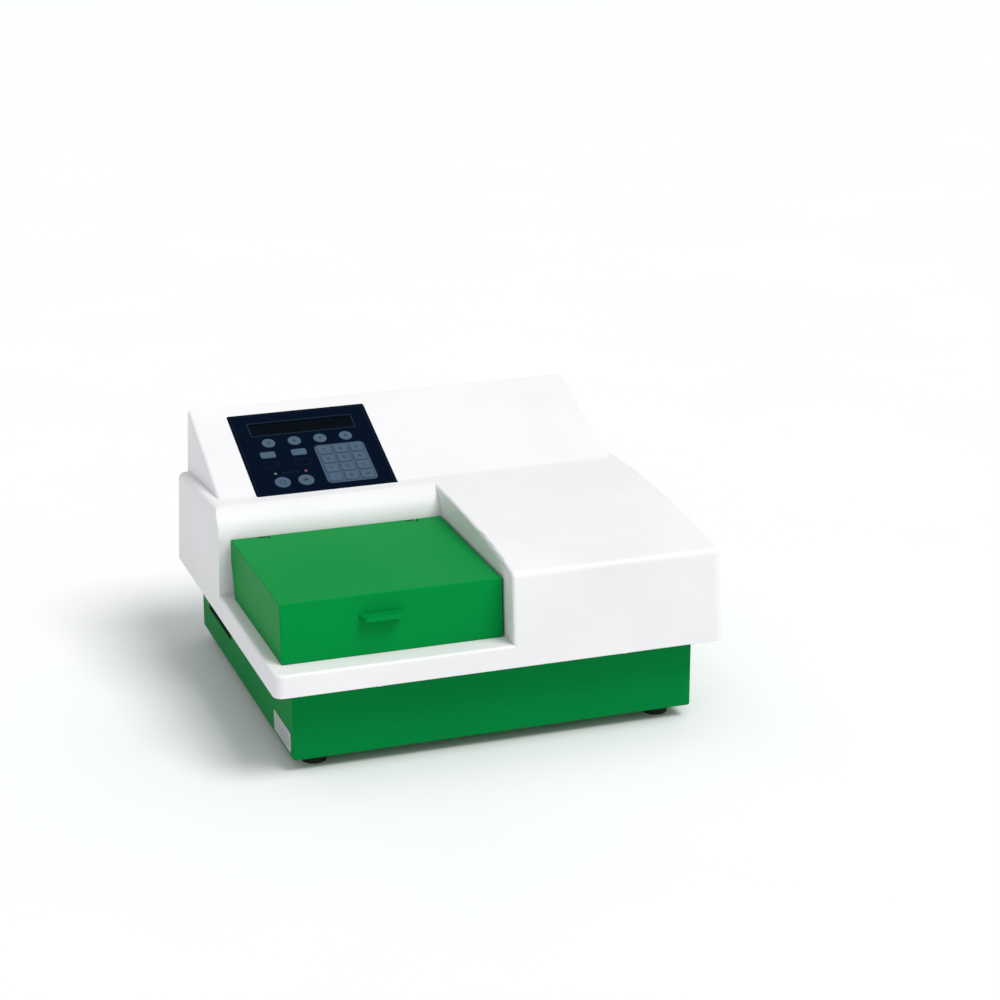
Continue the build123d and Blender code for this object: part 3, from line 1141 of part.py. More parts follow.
idler_pulley = toothed_pulley((BELT_X, IDLER_Y), PULLEY_BORE + RUNNING_GAP)
idler_pulley.part.label = "idler_pulley"
export_step(idler_pulley.part, "parts/idler_pulley.step")

BELT_SPAN = DRIVE_Y - IDLER_Y
with BuildPart() as timing_belt:
    with BuildSketch(Plane.XY.offset(BELT_BOTTOM)):
        with Locations((BELT_X, (DRIVE_Y + IDLER_Y) / 2)):
            SlotCenterToCenter(BELT_SPAN, 2 * (BELT_INNER + BELT_THICKNESS), rotation=90)
            SlotCenterToCenter(BELT_SPAN, 2 * BELT_INNER, rotation=90, mode=Mode.SUBTRACT)
    extrude(amount=BELT_WIDTH)
timing_belt.part.label = "timing_belt"
export_step(timing_belt.part, "parts/timing_belt.step")


# ---------------------------------------------------------------- plate transport
RAIL_XS = [TRACK_X - RAIL_SPACING / 2, TRACK_X + RAIL_SPACING / 2]
BLOCK_YS = [RAIL_FRONT_Y + RAIL_BLOCK_DEPTH / 2, RAIL_REAR_Y - RAIL_BLOCK_DEPTH / 2]
with BuildPart() as guide_rails:
    with BuildSketch(Plane.XZ.offset(-RAIL_REAR_Y)):
        with Locations([(x, RAIL_Z) for x in RAIL_XS]):
            Circle(RAIL_RADIUS)
    extrude(amount=RAIL_REAR_Y - RAIL_FRONT_Y)
guide_rails.part.label = "guide_rails"
export_step(guide_rails.part, "parts/guide_rails.step")

with BuildPart() as rail_blocks:
    for block_y in BLOCK_YS:
        with BuildSketch(Plane.XZ.offset(-block_y - RAIL_BLOCK_DEPTH / 2)):
            with Locations([(x, RAIL_Z) for x in RAIL_XS]):
                Rectangle(RAIL_BLOCK_WIDTH, DECK_BOTTOM - CHASSIS_TOP)
                Circle(RAIL_RADIUS + RUNNING_GAP, mode=Mode.SUBTRACT)
        extrude(amount=RAIL_BLOCK_DEPTH)
rail_blocks.part.label = "rail_blocks"
export_step(rail_blocks.part, "parts/rail_blocks.step")

SLOT_FRONT_Y = LOAD_Y - BUSH_SPACING / 2 - BUSH_BLOCK_LENGTH
SLOT_REAR_Y = LOAD_Y + TRAVEL + BUSH_SPACING / 2 + BUSH_BLOCK_LENGTH
DECK_LEFT_X = CHAMBER_LEFT_X - DECK_MARGIN
DECK_RIGHT_X = CHAMBER_RIGHT_X + DECK_MARGIN
WELL_ROW = GridLocations(WELL_PITCH, WELL_PITCH, CHANNELS, 1).locations
with BuildPart() as deck_plate:
    with BuildSketch(Plane.XY.offset(DECK_BOTTOM)):
        with BuildLine():
            Polyline(
                (DECK_LEFT_X, RAIL_FRONT_Y),
                (DECK_RIGHT_X, RAIL_FRONT_Y),
                (DECK_RIGHT_X, RAIL_REAR_Y),
                (DECK_LEFT_X, RAIL_REAR_Y),
                close=True,
            )
        make_face()
        with Locations([(x, (SLOT_FRONT_Y + SLOT_REAR_Y) / 2) for x in RAIL_XS]):
            Rectangle(LEG_SLOT, SLOT_REAR_Y - SLOT_FRONT_Y, mode=Mode.SUBTRACT)
        with Locations((TRACK_X, READ_Y)):
            with Locations(WELL_ROW):
                Circle(DETECTOR_RADIUS, mode=Mode.SUBTRACT)
    extrude(amount=DECK_SHEET)
deck_plate.part.label = "deck_plate"
export_step(deck_plate.part, "parts/deck_plate.step")

BUSH_YS = [LOAD_Y - BUSH_SPACING / 2, LOAD_Y + BUSH_SPACING / 2]
BUSH_PLACES = [(x, y) for x in RAIL_XS for y in BUSH_YS]
BUSH_BLOCK_TOP = DECK_BOTTOM - SLIDE_GAP
BUSH_BLOCK_HEIGHT = 2 * (BUSH_BLOCK_TOP - RAIL_Z)
CLAMP_Y = BUSH_YS[0]
CLAMP_INNER_X = TRACK_X + RAIL_SPACING / 2
CLAMP_OUTER_X = BELT_RUN_X + BELT_THICKNESS / 2 + BELT_GAP + CLAMP_WALL
with BuildPart() as plate_carriage:
    with BuildSketch(Plane.XY.offset(NEST_BOTTOM)):
        with Locations((TRACK_X, LOAD_Y)):
            RectangleRounded(CARRIAGE_WIDTH, CARRIAGE_LENGTH, CARRIAGE_CORNER)
    extrude(amount=NEST_FLOOR + NEST_WALL)
    with BuildSketch(Plane.XY.offset(NEST_TOP)):
        with Locations((TRACK_X, LOAD_Y)):
            Rectangle(PLATE_WIDTH + 2 * NEST_GAP, PLATE_LENGTH + 2 * NEST_GAP)
            Rectangle(CARRIAGE_WIDTH, FINGER_NOTCH)
            Rectangle(FINGER_NOTCH, CARRIAGE_LENGTH)
    extrude(amount=NEST_WALL, mode=Mode.SUBTRACT)
    with BuildSketch(Plane.XY.offset(NEST_BOTTOM)):
        with Locations((TRACK_X, LOAD_Y)):
            Rectangle(NEST_WINDOW_WIDTH, NEST_WINDOW_LENGTH)
    extrude(amount=NEST_FLOOR, mode=Mode.SUBTRACT)
    # Legs down through the deck's slots, and the blocks that hold the bushings
    with BuildSketch(Plane.XY.offset(BUSH_BLOCK_TOP - OVERRUN)):
        with Locations(BUSH_PLACES):
            Rectangle(LEG_WIDTH, BUSH_BLOCK_LENGTH)
    extrude(amount=NEST_BOTTOM - BUSH_BLOCK_TOP + 2 * OVERRUN)
    with BuildSketch(Plane.XY.offset(BUSH_BLOCK_TOP)):
        with Locations(BUSH_PLACES):
            Rectangle(BUSH_BLOCK_WIDTH, BUSH_BLOCK_LENGTH)
    extrude(amount=-BUSH_BLOCK_HEIGHT)
    # Arm that grips the belt's left run
    with BuildSketch(Plane.XZ.offset(-CLAMP_Y - CLAMP_LENGTH / 2)):
        with BuildLine():
            Polyline(
                (CLAMP_INNER_X, BUSH_BLOCK_TOP - BUSH_BLOCK_HEIGHT),
                (CLAMP_OUTER_X, BUSH_BLOCK_TOP - BUSH_BLOCK_HEIGHT),
                (CLAMP_OUTER_X, BUSH_BLOCK_TOP),
                (CLAMP_INNER_X, BUSH_BLOCK_TOP),
                close=True,
            )
        make_face()
        with Locations((BELT_RUN_X, RAIL_Z)):
            Rectangle(BELT_THICKNESS + 2 * BELT_GAP, BELT_WIDTH + 2 * BELT_GAP, mode=Mode.SUBTRACT)
    extrude(amount=CLAMP_LENGTH)
    # Flag on the left that trips the home sensor
    with BuildSketch(Plane.XY.offset(RAIL_Z)):
        with Locations((RAIL_XS[0] - BUSH_BLOCK_WIDTH / 2 - FLAG_REACH / 2, CLAMP_Y)):
            Rectangle(FLAG_REACH, BUSH_BLOCK_LENGTH / 2)
    extrude(amount=FLAG_THICKNESS)
    with BuildSketch(Plane.XZ.offset(-LOAD_Y - CARRIAGE_LENGTH)):
        with Locations([(x, RAIL_Z) for x in RAIL_XS]):
            Circle(BUSH_RADIUS)
    extrude(amount=2 * CARRIAGE_LENGTH, mode=Mode.SUBTRACT)
plate_carriage.part.label = "plate_carriage"
export_step(plate_carriage.part, "parts/plate_carriage.step")

with BuildPart() as linear_bushings:
    for bush_y in BUSH_YS:
        with BuildSketch(Plane.XZ.offset(-bush_y - BUSH_LENGTH / 2)):
            with Locations([(x, RAIL_Z) for x in RAIL_XS]):
                Circle(BUSH_RADIUS)
                Circle(RAIL_RADIUS + RUNNING_GAP, mode=Mode.SUBTRACT)
        extrude(amount=BUSH_LENGTH)
linear_bushings.part.label = "linear_bushings"
export_step(linear_bushings.part, "parts/linear_bushings.step")

# Bowed leaf in the nest's left wall that pushes the plate to its datum side
SPRING_X = TRACK_X - PLATE_WIDTH / 2 - NEST_GAP
SPRING_Y = LOAD_Y + FINGER_NOTCH / 2 + SPRING_LENGTH / 2
with BuildPart() as plate_spring:
    with BuildSketch(Plane.XY.offset(NEST_TOP)):
        with BuildLine():
            leaf = ThreePointArc(
                (SPRING_X + SPRING_SHEET / 2, SPRING_Y - SPRING_LENGTH / 2 + SPRING_SHEET),
                (SPRING_X + NEST_GAP + SPRING_SHEET / 2, SPRING_Y),
                (SPRING_X + SPRING_SHEET / 2, SPRING_Y + SPRING_LENGTH / 2 - SPRING_SHEET),
            )
            offset(leaf, amount=SPRING_SHEET / 2)
        make_face()
    extrude(amount=NEST_WALL - OVERRUN)
plate_spring.part.label = "plate_spring"
export_step(plate_spring.part, "parts/plate_spring.step")

SENSOR_X = RAIL_XS[0] - BUSH_BLOCK_WIDTH / 2 - FLAG_REACH + SENSOR_OVERLAP
with BuildPart() as home_sensor:
    with BuildSketch(Plane.XZ.offset(-CLAMP_Y - SENSOR_LENGTH / 2)):
        with BuildLine():
            Polyline(
                (SENSOR_X - SENSOR_WIDTH, CHASSIS_TOP),
                (SENSOR_X + SENSOR_WIDTH / 2, CHASSIS_TOP),
                (SENSOR_X + SENSOR_WIDTH / 2, RAIL_Z - SENSOR_SLOT / 2),
                (SENSOR_X - SENSOR_WIDTH / 2, RAIL_Z - SENSOR_SLOT / 2),
                (SENSOR_X - SENSOR_WIDTH / 2, RAIL_Z + FLAG_THICKNESS + SENSOR_SLOT / 2),
                (SENSOR_X + SENSOR_WIDTH / 2, RAIL_Z + FLAG_THICKNESS + SENSOR_SLOT / 2),
                (SENSOR_X + SENSOR_WIDTH / 2, DECK_BOTTOM - SLIDE_GAP),
                (SENSOR_X - SENSOR_WIDTH, DECK_BOTTOM - SLIDE_GAP),
                close=True,
            )
        make_face()
    extrude(amount=SENSOR_LENGTH)
home_sensor.part.label = "home_sensor"
export_step(home_sensor.part, "parts/home_sensor.step")


# ---------------------------------------------------------------- optics
HEAD_BOTTOM = LEDGE_TOP + HEAD_BASE_RISE
HEAD_TOP = HEAD_BOTTOM + HEAD_HEIGHT
with BuildPart() as optical_head:
    with BuildSketch(Plane.XY.offset(HEAD_BOTTOM)):
        with Locations((TRACK_X, READ_Y)):
            Rectangle(HEAD_POST_SPACING + HEAD_POST_WIDTH, HEAD_DEPTH)
    extrude(amount=HEAD_HEIGHT)
    fillet(optical_head.edges().filter_by(Axis.X).sort_by(Axis.Z)[-2:], RIM_RADIUS)
    with BuildSketch(Plane.XY.offset(DECK_TOP)):
        with Locations((TRACK_X, READ_Y)):
            with GridLocations(HEAD_POST_SPACING, 1, 2, 1):
                Rectangle(HEAD_POST_WIDTH, HEAD_DEPTH)
    extrude(amount=HEAD_BOTTOM - DECK_TOP)
    with BuildSketch(Plane.XY.offset(HEAD_BOTTOM)):
        with Locations((TRACK_X, READ_Y)):
            with Locations(WELL_ROW):
                Circle(GUIDE_RADIUS + RUNNING_GAP)
    extrude(amount=HEAD_HEIGHT, mode=Mode.SUBTRACT)
optical_head.part.label = "optical_head"
export_step(optical_head.part, "parts/optical_head.step")

# The guides lie in one upright ribbon: the nearest channel's guide is the lowest
# one, so that each can turn down to its well without crossing another.
GUIDE_BOTTOM_Z = HEAD_TOP + GUIDE_LIFT
OPTIC_Z = GUIDE_BOTTOM_Z + GUIDE_PITCH * (CHANNELS - 1) / 2
FIRST_WELL_X = TRACK_X + WELL_PITCH * (CHANNELS - 1) / 2
with BuildPart() as light_guides:
    for channel in range(CHANNELS):
        well_x = FIRST_WELL_X - channel * WELL_PITCH
        guide_z = GUIDE_BOTTOM_Z + channel * GUIDE_PITCH
        with BuildLine() as guide_path:
            FilletPolyline(
                (COLLECTOR_X + COLLECTOR_LENGTH / 2, READ_Y, guide_z),
                (well_x, READ_Y, guide_z),
                (well_x, READ_Y, HEAD_BOTTOM + HEAD_HEIGHT / 2),
                radius=GUIDE_BEND,
            )
        with BuildSketch(Plane.YZ.offset(COLLECTOR_X + COLLECTOR_LENGTH / 2)):
            with Locations((READ_Y, guide_z)):
                Circle(GUIDE_RADIUS)
        sweep(path=guide_path.wires()[0])
light_guides.part.label = "light_guides"
export_step(light_guides.part, "parts/light_guides.step")

WHEEL_Z = OPTIC_Z - FILTER_CIRCLE
MOTOR_BACK_X = UPRIGHT_X + BENCH_SHEET + FILTER_MOTOR_LENGTH
LAMP_FOOT_Z = OPTIC_Z - LAMP_HEIGHT / 2
BENCH_REAR_X = LAMP_X + LAMP_LENGTH
with BuildPart() as optics_bench:
    # Folded strap seen from the front: collector post, floor, upright, lamp table
    with BuildSketch(Plane.XZ.offset(-READ_Y - BENCH_DEPTH / 2)):
        with BuildLine():
            Polyline(
                (COLLECTOR_X - BENCH_SHEET, CHASSIS_TOP),
                (BENCH_REAR_X, CHASSIS_TOP),
                (BENCH_REAR_X, LAMP_FOOT_Z),
                (LAMP_X, LAMP_FOOT_Z),
                (LAMP_X, LAMP_FOOT_Z - BENCH_SHEET),
                (BENCH_REAR_X - BENCH_SHEET, LAMP_FOOT_Z - BENCH_SHEET),
                (BENCH_REAR_X - BENCH_SHEET, CHASSIS_TOP + BENCH_SHEET),
                (UPRIGHT_X + BENCH_SHEET, CHASSIS_TOP + BENCH_SHEET),
                (UPRIGHT_X + BENCH_SHEET, OPTIC_Z + LENS_RADIUS + BENCH_SHEET),
                (UPRIGHT_X, OPTIC_Z + LENS_RADIUS + BENCH_SHEET),
                (UPRIGHT_X, CHASSIS_TOP + BENCH_SHEET),
                (COLLECTOR_X, CHASSIS_TOP + BENCH_SHEET),
                (COLLECTOR_X, OPTIC_Z + COLLECTOR_HEIGHT / 2 + BENCH_SHEET),
                (COLLECTOR_X - BENCH_SHEET, OPTIC_Z + COLLECTOR_HEIGHT / 2 + BENCH_SHEET),
                close=True,
            )
        make_face()
    extrude(amount=BENCH_DEPTH)
    with BuildSketch(Plane.YZ.offset(COLLECTOR_X - BENCH_SHEET - OVERRUN)):
        with Locations((READ_Y, OPTIC_Z)):
            Rectangle(2 * GUIDE_RADIUS + GUIDE_PITCH, COLLECTOR_HEIGHT - 2 * GUIDE_RADIUS)
    extrude(amount=BENCH_SHEET + 2 * OVERRUN, mode=Mode.SUBTRACT)
    with BuildSketch(Plane.YZ.offset(UPRIGHT_X - OVERRUN)):
        with Locations((READ_Y, OPTIC_Z)):
            Circle(LENS_RADIUS - OVERRUN)
        with Locations((READ_Y, WHEEL_Z)):
            Circle(2 * WHEEL_SHAFT_RADIUS)
    extrude(amount=BENCH_SHEET + 2 * OVERRUN, mode=Mode.SUBTRACT)
optics_bench.part.label = "optics_bench"
export_step(optics_bench.part, "parts/optics_bench.step")

with BuildPart() as guide_collector:
    with BuildSketch(Plane.YZ.offset(COLLECTOR_X)):
        with Locations((READ_Y, OPTIC_Z)):
            Rectangle(COLLECTOR_WIDTH, COLLECTOR_HEIGHT)
    extrude(amount=COLLECTOR_LENGTH)
    with BuildSketch(Plane.YZ.offset(COLLECTOR_X)):
        with Locations((READ_Y, OPTIC_Z)):
            with GridLocations(1, GUIDE_PITCH, 1, CHANNELS):
                Circle(GUIDE_RADIUS + RUNNING_GAP)
    extrude(amount=COLLECTOR_LENGTH / 2, mode=Mode.SUBTRACT)
guide_collector.part.label = "guide_collector"
export_step(guide_collector.part, "parts/guide_collector.step")

WHEEL_PLANE = Plane(origin=(WHEEL_X, READ_Y, WHEEL_Z), x_dir=(0, 1, 0), z_dir=(1, 0, 0))
with BuildPart() as filter_wheel:
    with BuildSketch(WHEEL_PLANE):
        Circle(WHEEL_RADIUS)
        with PolarLocations(FILTER_CIRCLE, FILTER_COUNT, start_angle=90):
            Circle(FILTER_RADIUS, mode=Mode.SUBTRACT)
    extrude(amount=WHEEL_THICKNESS)
    with BuildSketch(WHEEL_PLANE.offset(WHEEL_THICKNESS)):
        Circle(2 * WHEEL_SHAFT_RADIUS - SEAT_GAP)
    extrude(amount=UPRIGHT_X + BENCH_SHEET - WHEEL_X - WHEEL_THICKNESS - SEAT_GAP)
    with BuildSketch(WHEEL_PLANE):
        Circle(WHEEL_SHAFT_RADIUS)
    extrude(amount=MOTOR_BACK_X - WHEEL_X - BENCH_SHEET)
filter_wheel.part.label = "filter_wheel"
export_step(filter_wheel.part, "parts/filter_wheel.step")

with BuildPart() as interference_filters:
    with BuildSketch(WHEEL_PLANE.offset((WHEEL_THICKNESS - FILTER_THICKNESS) / 2)):
        with PolarLocations(FILTER_CIRCLE, FILTER_COUNT, start_angle=90):
            Circle(FILTER_RADIUS)
    extrude(amount=FILTER_THICKNESS)
interference_filters.part.label = "interference_filters"
export_step(interference_filters.part, "parts/interference_filters.step")

with BuildPart() as filter_motor:
    with BuildSketch(WHEEL_PLANE.offset(UPRIGHT_X + BENCH_SHEET - WHEEL_X)):
        Circle(FILTER_MOTOR_RADIUS)
        Circle(WHEEL_SHAFT_RADIUS + RUNNING_GAP, mode=Mode.SUBTRACT)
    extrude(amount=FILTER_MOTOR_LENGTH - BENCH_SHEET)
    with BuildSketch(WHEEL_PLANE.offset(MOTOR_BACK_X - WHEEL_X - BENCH_SHEET)):
        Circle(FILTER_MOTOR_RADIUS - BENCH_SHEET)
    extrude(amount=BENCH_SHEET)
filter_motor.part.label = "filter_motor"
export_step(filter_motor.part, "parts/filter_motor.step")

# Plano-convex lens, turned about the optical axis, flat against the upright
LENS_X = UPRIGHT_X + BENCH_SHEET
LENS_EDGE_ANGLE = degrees(asin(LENS_RADIUS / LENS_DOME))
LENS_RIM_X = LENS_X + LENS_THICKNESS - LENS_DOME * (1 - cos(radians(LENS_EDGE_ANGLE)))
with BuildPart() as condenser_lens:
    with BuildSketch(Plane.XZ.offset(-READ_Y)):
        with BuildLine():
            Line((LENS_X, OPTIC_Z), (LENS_X, OPTIC_Z + LENS_RADIUS))
            Line((LENS_X, OPTIC_Z + LENS_RADIUS), (LENS_RIM_X, OPTIC_Z + LENS_RADIUS))
            CenterArc(
                (LENS_X + LENS_THICKNESS - LENS_DOME, OPTIC_Z), LENS_DOME, 0, LENS_EDGE_ANGLE
            )
            Line((LENS_X + LENS_THICKNESS, OPTIC_Z), (LENS_X, OPTIC_Z))
        make_face()
    revolve(axis=Axis((LENS_X, READ_Y, OPTIC_Z), (1, 0, 0)))
condenser_lens.part.label = "condenser_lens"
export_step(condenser_lens.part, "parts/condenser_lens.step")

FIN_PITCH = LAMP_LENGTH / (FIN_COUNT + 1)
LAMP_MID_X = LAMP_X + LAMP_LENGTH / 2
with BuildPart() as lamp_housing:
    with BuildSketch(Plane.YZ.offset(LAMP_X)):
        with Locations((READ_Y, OPTIC_Z)):
            Rectangle(LAMP_WIDTH, LAMP_HEIGHT)
    extrude(amount=LAMP_LENGTH)
    with BuildSketch(Plane.XY.offset(OPTIC_Z + LAMP_HEIGHT / 2)):
        with Locations((LAMP_MID_X, READ_Y)):
            with GridLocations(FIN_PITCH, LAMP_WIDTH, FIN_COUNT, 1):
                Rectangle(FIN_GAP, LAMP_WIDTH)
    extrude(amount=-FIN_DEPTH, mode=Mode.SUBTRACT)
    with BuildSketch(Plane.YZ.offset(LAMP_X)):
        with Locations((READ_Y, OPTIC_Z)):
            Circle(LAMP_BORE)
    extrude(amount=LAMP_LENGTH, mode=Mode.SUBTRACT)
lamp_housing.part.label = "lamp_housing"
export_step(lamp_housing.part, "parts/lamp_housing.step")

# Halogen lamp: a round-nosed glass bulb in a base that plugs the housing's bore
BULB_REAR_X = LAMP_X + LAMP_LENGTH - BULB_BASE
with BuildPart() as halogen_lamp:
    with BuildSketch(Plane.XZ.offset(-READ_Y)):
        with BuildLine():
            Polyline(
                (BULB_REAR_X - BULB_LENGTH, OPTIC_Z),
                (LAMP_X + LAMP_LENGTH, OPTIC_Z),
                (LAMP_X + LAMP_LENGTH, OPTIC_Z + LAMP_BORE),
                (BULB_REAR_X, OPTIC_Z + LAMP_BORE),
                (BULB_REAR_X, OPTIC_Z + BULB_RADIUS),
                (BULB_REAR_X - BULB_LENGTH + BULB_RADIUS, OPTIC_Z + BULB_RADIUS),
            )
            CenterArc(
                (BULB_REAR_X - BULB_LENGTH + BULB_RADIUS, OPTIC_Z), BULB_RADIUS, 90, 90
            )
        make_face()
    revolve(axis=Axis((LAMP_X, READ_Y, OPTIC_Z), (1, 0, 0)))
halogen_lamp.part.label = "halogen_lamp"
export_step(halogen_lamp.part, "parts/halogen_lamp.step")

with BuildPart() as detector_board:
    with BuildSketch(Plane.XY.offset(READ_BOARD_Z)):
        with Locations((TRACK_X, READ_Y)):
            Rectangle(DETECTOR_BOARD_WIDTH, DETECTOR_BOARD_DEPTH)
    extrude(amount=BOARD_SHEET)
    with BuildSketch(Plane.XY.offset(READ_BOARD_Z + BOARD_SHEET)):
        with Locations((TRACK_X, READ_Y)):
            with Locations(WELL_ROW):
                Circle(DETECTOR_RADIUS)
    extrude(amount=DETECTOR_HEIGHT)
detector_board.part.label = "detector_board"
export_step(detector_board.part, "parts/detector_board.step")


# ---------------------------------------------------------------- control panel
WINDOW_MID = (WINDOW_LEFT + WINDOW_WIDTH / 2, WINDOW_BOTTOM + WINDOW_HEIGHT / 2)
ROUND_KEYS = [(ROUND_KEY_U + n * ROUND_KEY_PITCH, ROUND_KEY_W) for n in range(ROUND_KEY_COUNT)]
BAR_KEYS = [(BAR_KEY_U + n * BAR_KEY_PITCH, BAR_KEY_W) for n in range(2)]
MAIN_KEYS = [(MAIN_KEY_U + n * MAIN_KEY_PITCH, MAIN_KEY_W) for n in range(2)]
LAMP_DOTS = [(LAMP_DOT_U + n * LAMP_DOT_PITCH, LAMP_DOT_W) for n in range(2)]
DIGIT_KEYS = [
    (
        DIGIT_KEY_U + (column - (DIGIT_COLUMNS - 1) / 2) * DIGIT_PITCH_U,
        DIGIT_KEY_W - (row - (DIGIT_ROWS - 1) / 2) * DIGIT_PITCH_W,
    )
    for row in range(DIGIT_ROWS)
    for column in range(DIGIT_COLUMNS)
]
ROUND_HOLE = ROUND_KEY_RADIUS + KEY_GAP
MAIN_HOLE = MAIN_KEY_RADIUS + KEY_GAP
LAMP_HOLE = LAMP_DOT_RADIUS + KEY_GAP
with BuildPart() as control_panel:
    with BuildSketch(PANEL_BED):
        with Locations((PANEL_MID_U, PANEL_MID_W)):
            RectangleRounded(PANEL_WIDTH, PANEL_LENGTH, PANEL_CORNER)
        with Locations(WINDOW_MID):
            Rectangle(WINDOW_WIDTH + 2 * RUNNING_GAP, WINDOW_HEIGHT + 2 * RUNNING_GAP, mode=Mode.SUBTRACT)
        with Locations(ROUND_KEYS):
            Circle(ROUND_HOLE, mode=Mode.SUBTRACT)
        with Locations(MAIN_KEYS):
            Circle(MAIN_HOLE, mode=Mode.SUBTRACT)
        with Locations(LAMP_DOTS):
            Circle(LAMP_HOLE, mode=Mode.SUBTRACT)
        with Locations(BAR_KEYS):
            RectangleRounded(
                BAR_KEY_WIDTH + 2 * KEY_GAP, BAR_KEY_HEIGHT + 2 * KEY_GAP, KEY_CORNER, mode=Mode.SUBTRACT
            )
        with Locations(DIGIT_KEYS):
            RectangleRounded(
                DIGIT_KEY_WIDTH + 2 * KEY_GAP, DIGIT_KEY_HEIGHT + 2 * KEY_GAP, KEY_CORNER, mode=Mode.SUBTRACT
            )
    extrude(amount=PANEL_SHEET)
control_panel.part.label = "control_panel"
export_step(control_panel.part, "parts/control_panel.step")

with BuildPart() as display_window:
    with BuildSketch(PANEL_BED):
        with Locations(WINDOW_MID):
            Rectangle(WINDOW_WIDTH, WINDOW_HEIGHT)
    extrude(amount=WINDOW_SHEET)
display_window.part.label = "display_window"
export_step(display_window.part, "parts/display_window.step")

# Panel board, hung below the panel: display module, key domes and signal lamps
KEY_FLOOR = PANEL_BED.offset(-KEY_FLANGE_SHEET - KEY_TRAVEL - KEY_DOME)
MODULE_HEIGHT = KEY_FLANGE_SHEET + KEY_TRAVEL + KEY_DOME - SEAT_GAP
BOARD_WIDTH = PANEL_WIDTH - 2 * PANEL_RIM - 2 * SLIDE_GAP
BOARD_LENGTH = PANEL_LENGTH - 2 * PANEL_RIM - 2 * SLIDE_GAP
with BuildPart() as panel_board:
    with BuildSketch(KEY_FLOOR):
        with Locations((PANEL_MID_U, PANEL_MID_W)):
            Rectangle(BOARD_WIDTH, BOARD_LENGTH)
    extrude(amount=-BOARD_SHEET)
    with BuildSketch(KEY_FLOOR):
        with Locations(WINDOW_MID):
            Rectangle(WINDOW_WIDTH, WINDOW_HEIGHT)
    extrude(amount=MODULE_HEIGHT)
    with BuildSketch(KEY_FLOOR):
        with Locations(ROUND_KEYS + MAIN_KEYS + BAR_KEYS + DIGIT_KEYS):
            Circle(SCREW_RADIUS)
    extrude(amount=KEY_DOME - RUNNING_GAP)
    with BuildSketch(KEY_FLOOR):
        with Locations(LAMP_DOTS):
            Circle(LAMP_DOT_RADIUS)
    extrude(amount=KEY_DOME + KEY_TRAVEL + KEY_FLANGE_SHEET + PANEL_SHEET)
    # Corner posts up to the panel's back
    with BuildSketch(KEY_FLOOR):
        with Locations((PANEL_MID_U, PANEL_MID_W)):
            with GridLocations(
                BOARD_WIDTH - 2 * STANDOFF_RADIUS, BOARD_LENGTH - 2 * STANDOFF_RADIUS, 2, 2
            ):
                Circle(STANDOFF_RADIUS)
    extrude(amount=KEY_DOME + KEY_TRAVEL + KEY_FLANGE_SHEET)
panel_board.part.label = "panel_board"
export_step(panel_board.part, "parts/panel_board.step")

KEY_BED = PANEL_BED.offset(-KEY_FLANGE_SHEET)
KEY_HEIGHT = KEY_FLANGE_SHEET + PANEL_SHEET + KEY_PROUD


def round_key(place, radius):
    """A round key whose flange is caught under the panel."""
    with BuildPart() as key:
        with BuildSketch(KEY_BED):
            with Locations(place):
                Circle(radius)
        extrude(amount=KEY_HEIGHT)
        fillet(key.faces().sort_by(Axis((0, 0, 0), PANEL_PLANE.z_dir))[-1].edges(), KEY_PROUD / 2)
        with BuildSketch(KEY_BED):
            with Locations(place):
                Circle(radius + KEY_FLANGE)
        extrude(amount=KEY_FLANGE_SHEET - RUNNING_GAP)
    return key


def square_key(place, width, height):
    """A rectangular key with rounded corners and the same caught flange."""
    with BuildPart() as key:
        with BuildSketch(KEY_BED):
            with Locations(place):
                RectangleRounded(width, height, KEY_CORNER)
        extrude(amount=KEY_HEIGHT)
        fillet(key.faces().sort_by(Axis((0, 0, 0), PANEL_PLANE.z_dir))[-1].edges(), KEY_PROUD / 2)
        with BuildSketch(KEY_BED):
            with Locations(place):
                Rectangle(width + KEY_FLANGE, height + KEY_FLANGE)
        extrude(amount=KEY_FLANGE_SHEET - RUNNING_GAP)
    return key


DIGIT_NAMES = ["7", "8", "9", "4", "5", "6", "1", "2", "3", "point", "0", "enter"]
keys = {}
for number, place in enumerate(ROUND_KEYS, start=1):
    keys[f"function_key_{number}"] = round_key(place, ROUND_KEY_RADIUS)
for side, place in zip(("left", "right"), BAR_KEYS):
    keys[f"bar_key_{side}"] = square_key(place, BAR_KEY_WIDTH, BAR_KEY_HEIGHT)
for side, place in zip(("left", "right"), MAIN_KEYS):
    keys[f"main_key_{side}"] = round_key(place, MAIN_KEY_RADIUS)
for digit, place in zip(DIGIT_NAMES, DIGIT_KEYS):
    keys[f"digit_key_{digit}"] = square_key(place, DIGIT_KEY_WIDTH, DIGIT_KEY_HEIGHT)
for node, key in keys.items():
    key.part.label = node
    export_step(key.part, f"parts/{node}.step")
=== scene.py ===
"""A bench microplate reader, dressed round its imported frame: finishes for every CAD node,
printed and fitted details, a studio with one lamp, and the camera. Metres, Z up."""

import json
import math

import bmesh
import bpy
from mathutils import Matrix, Vector


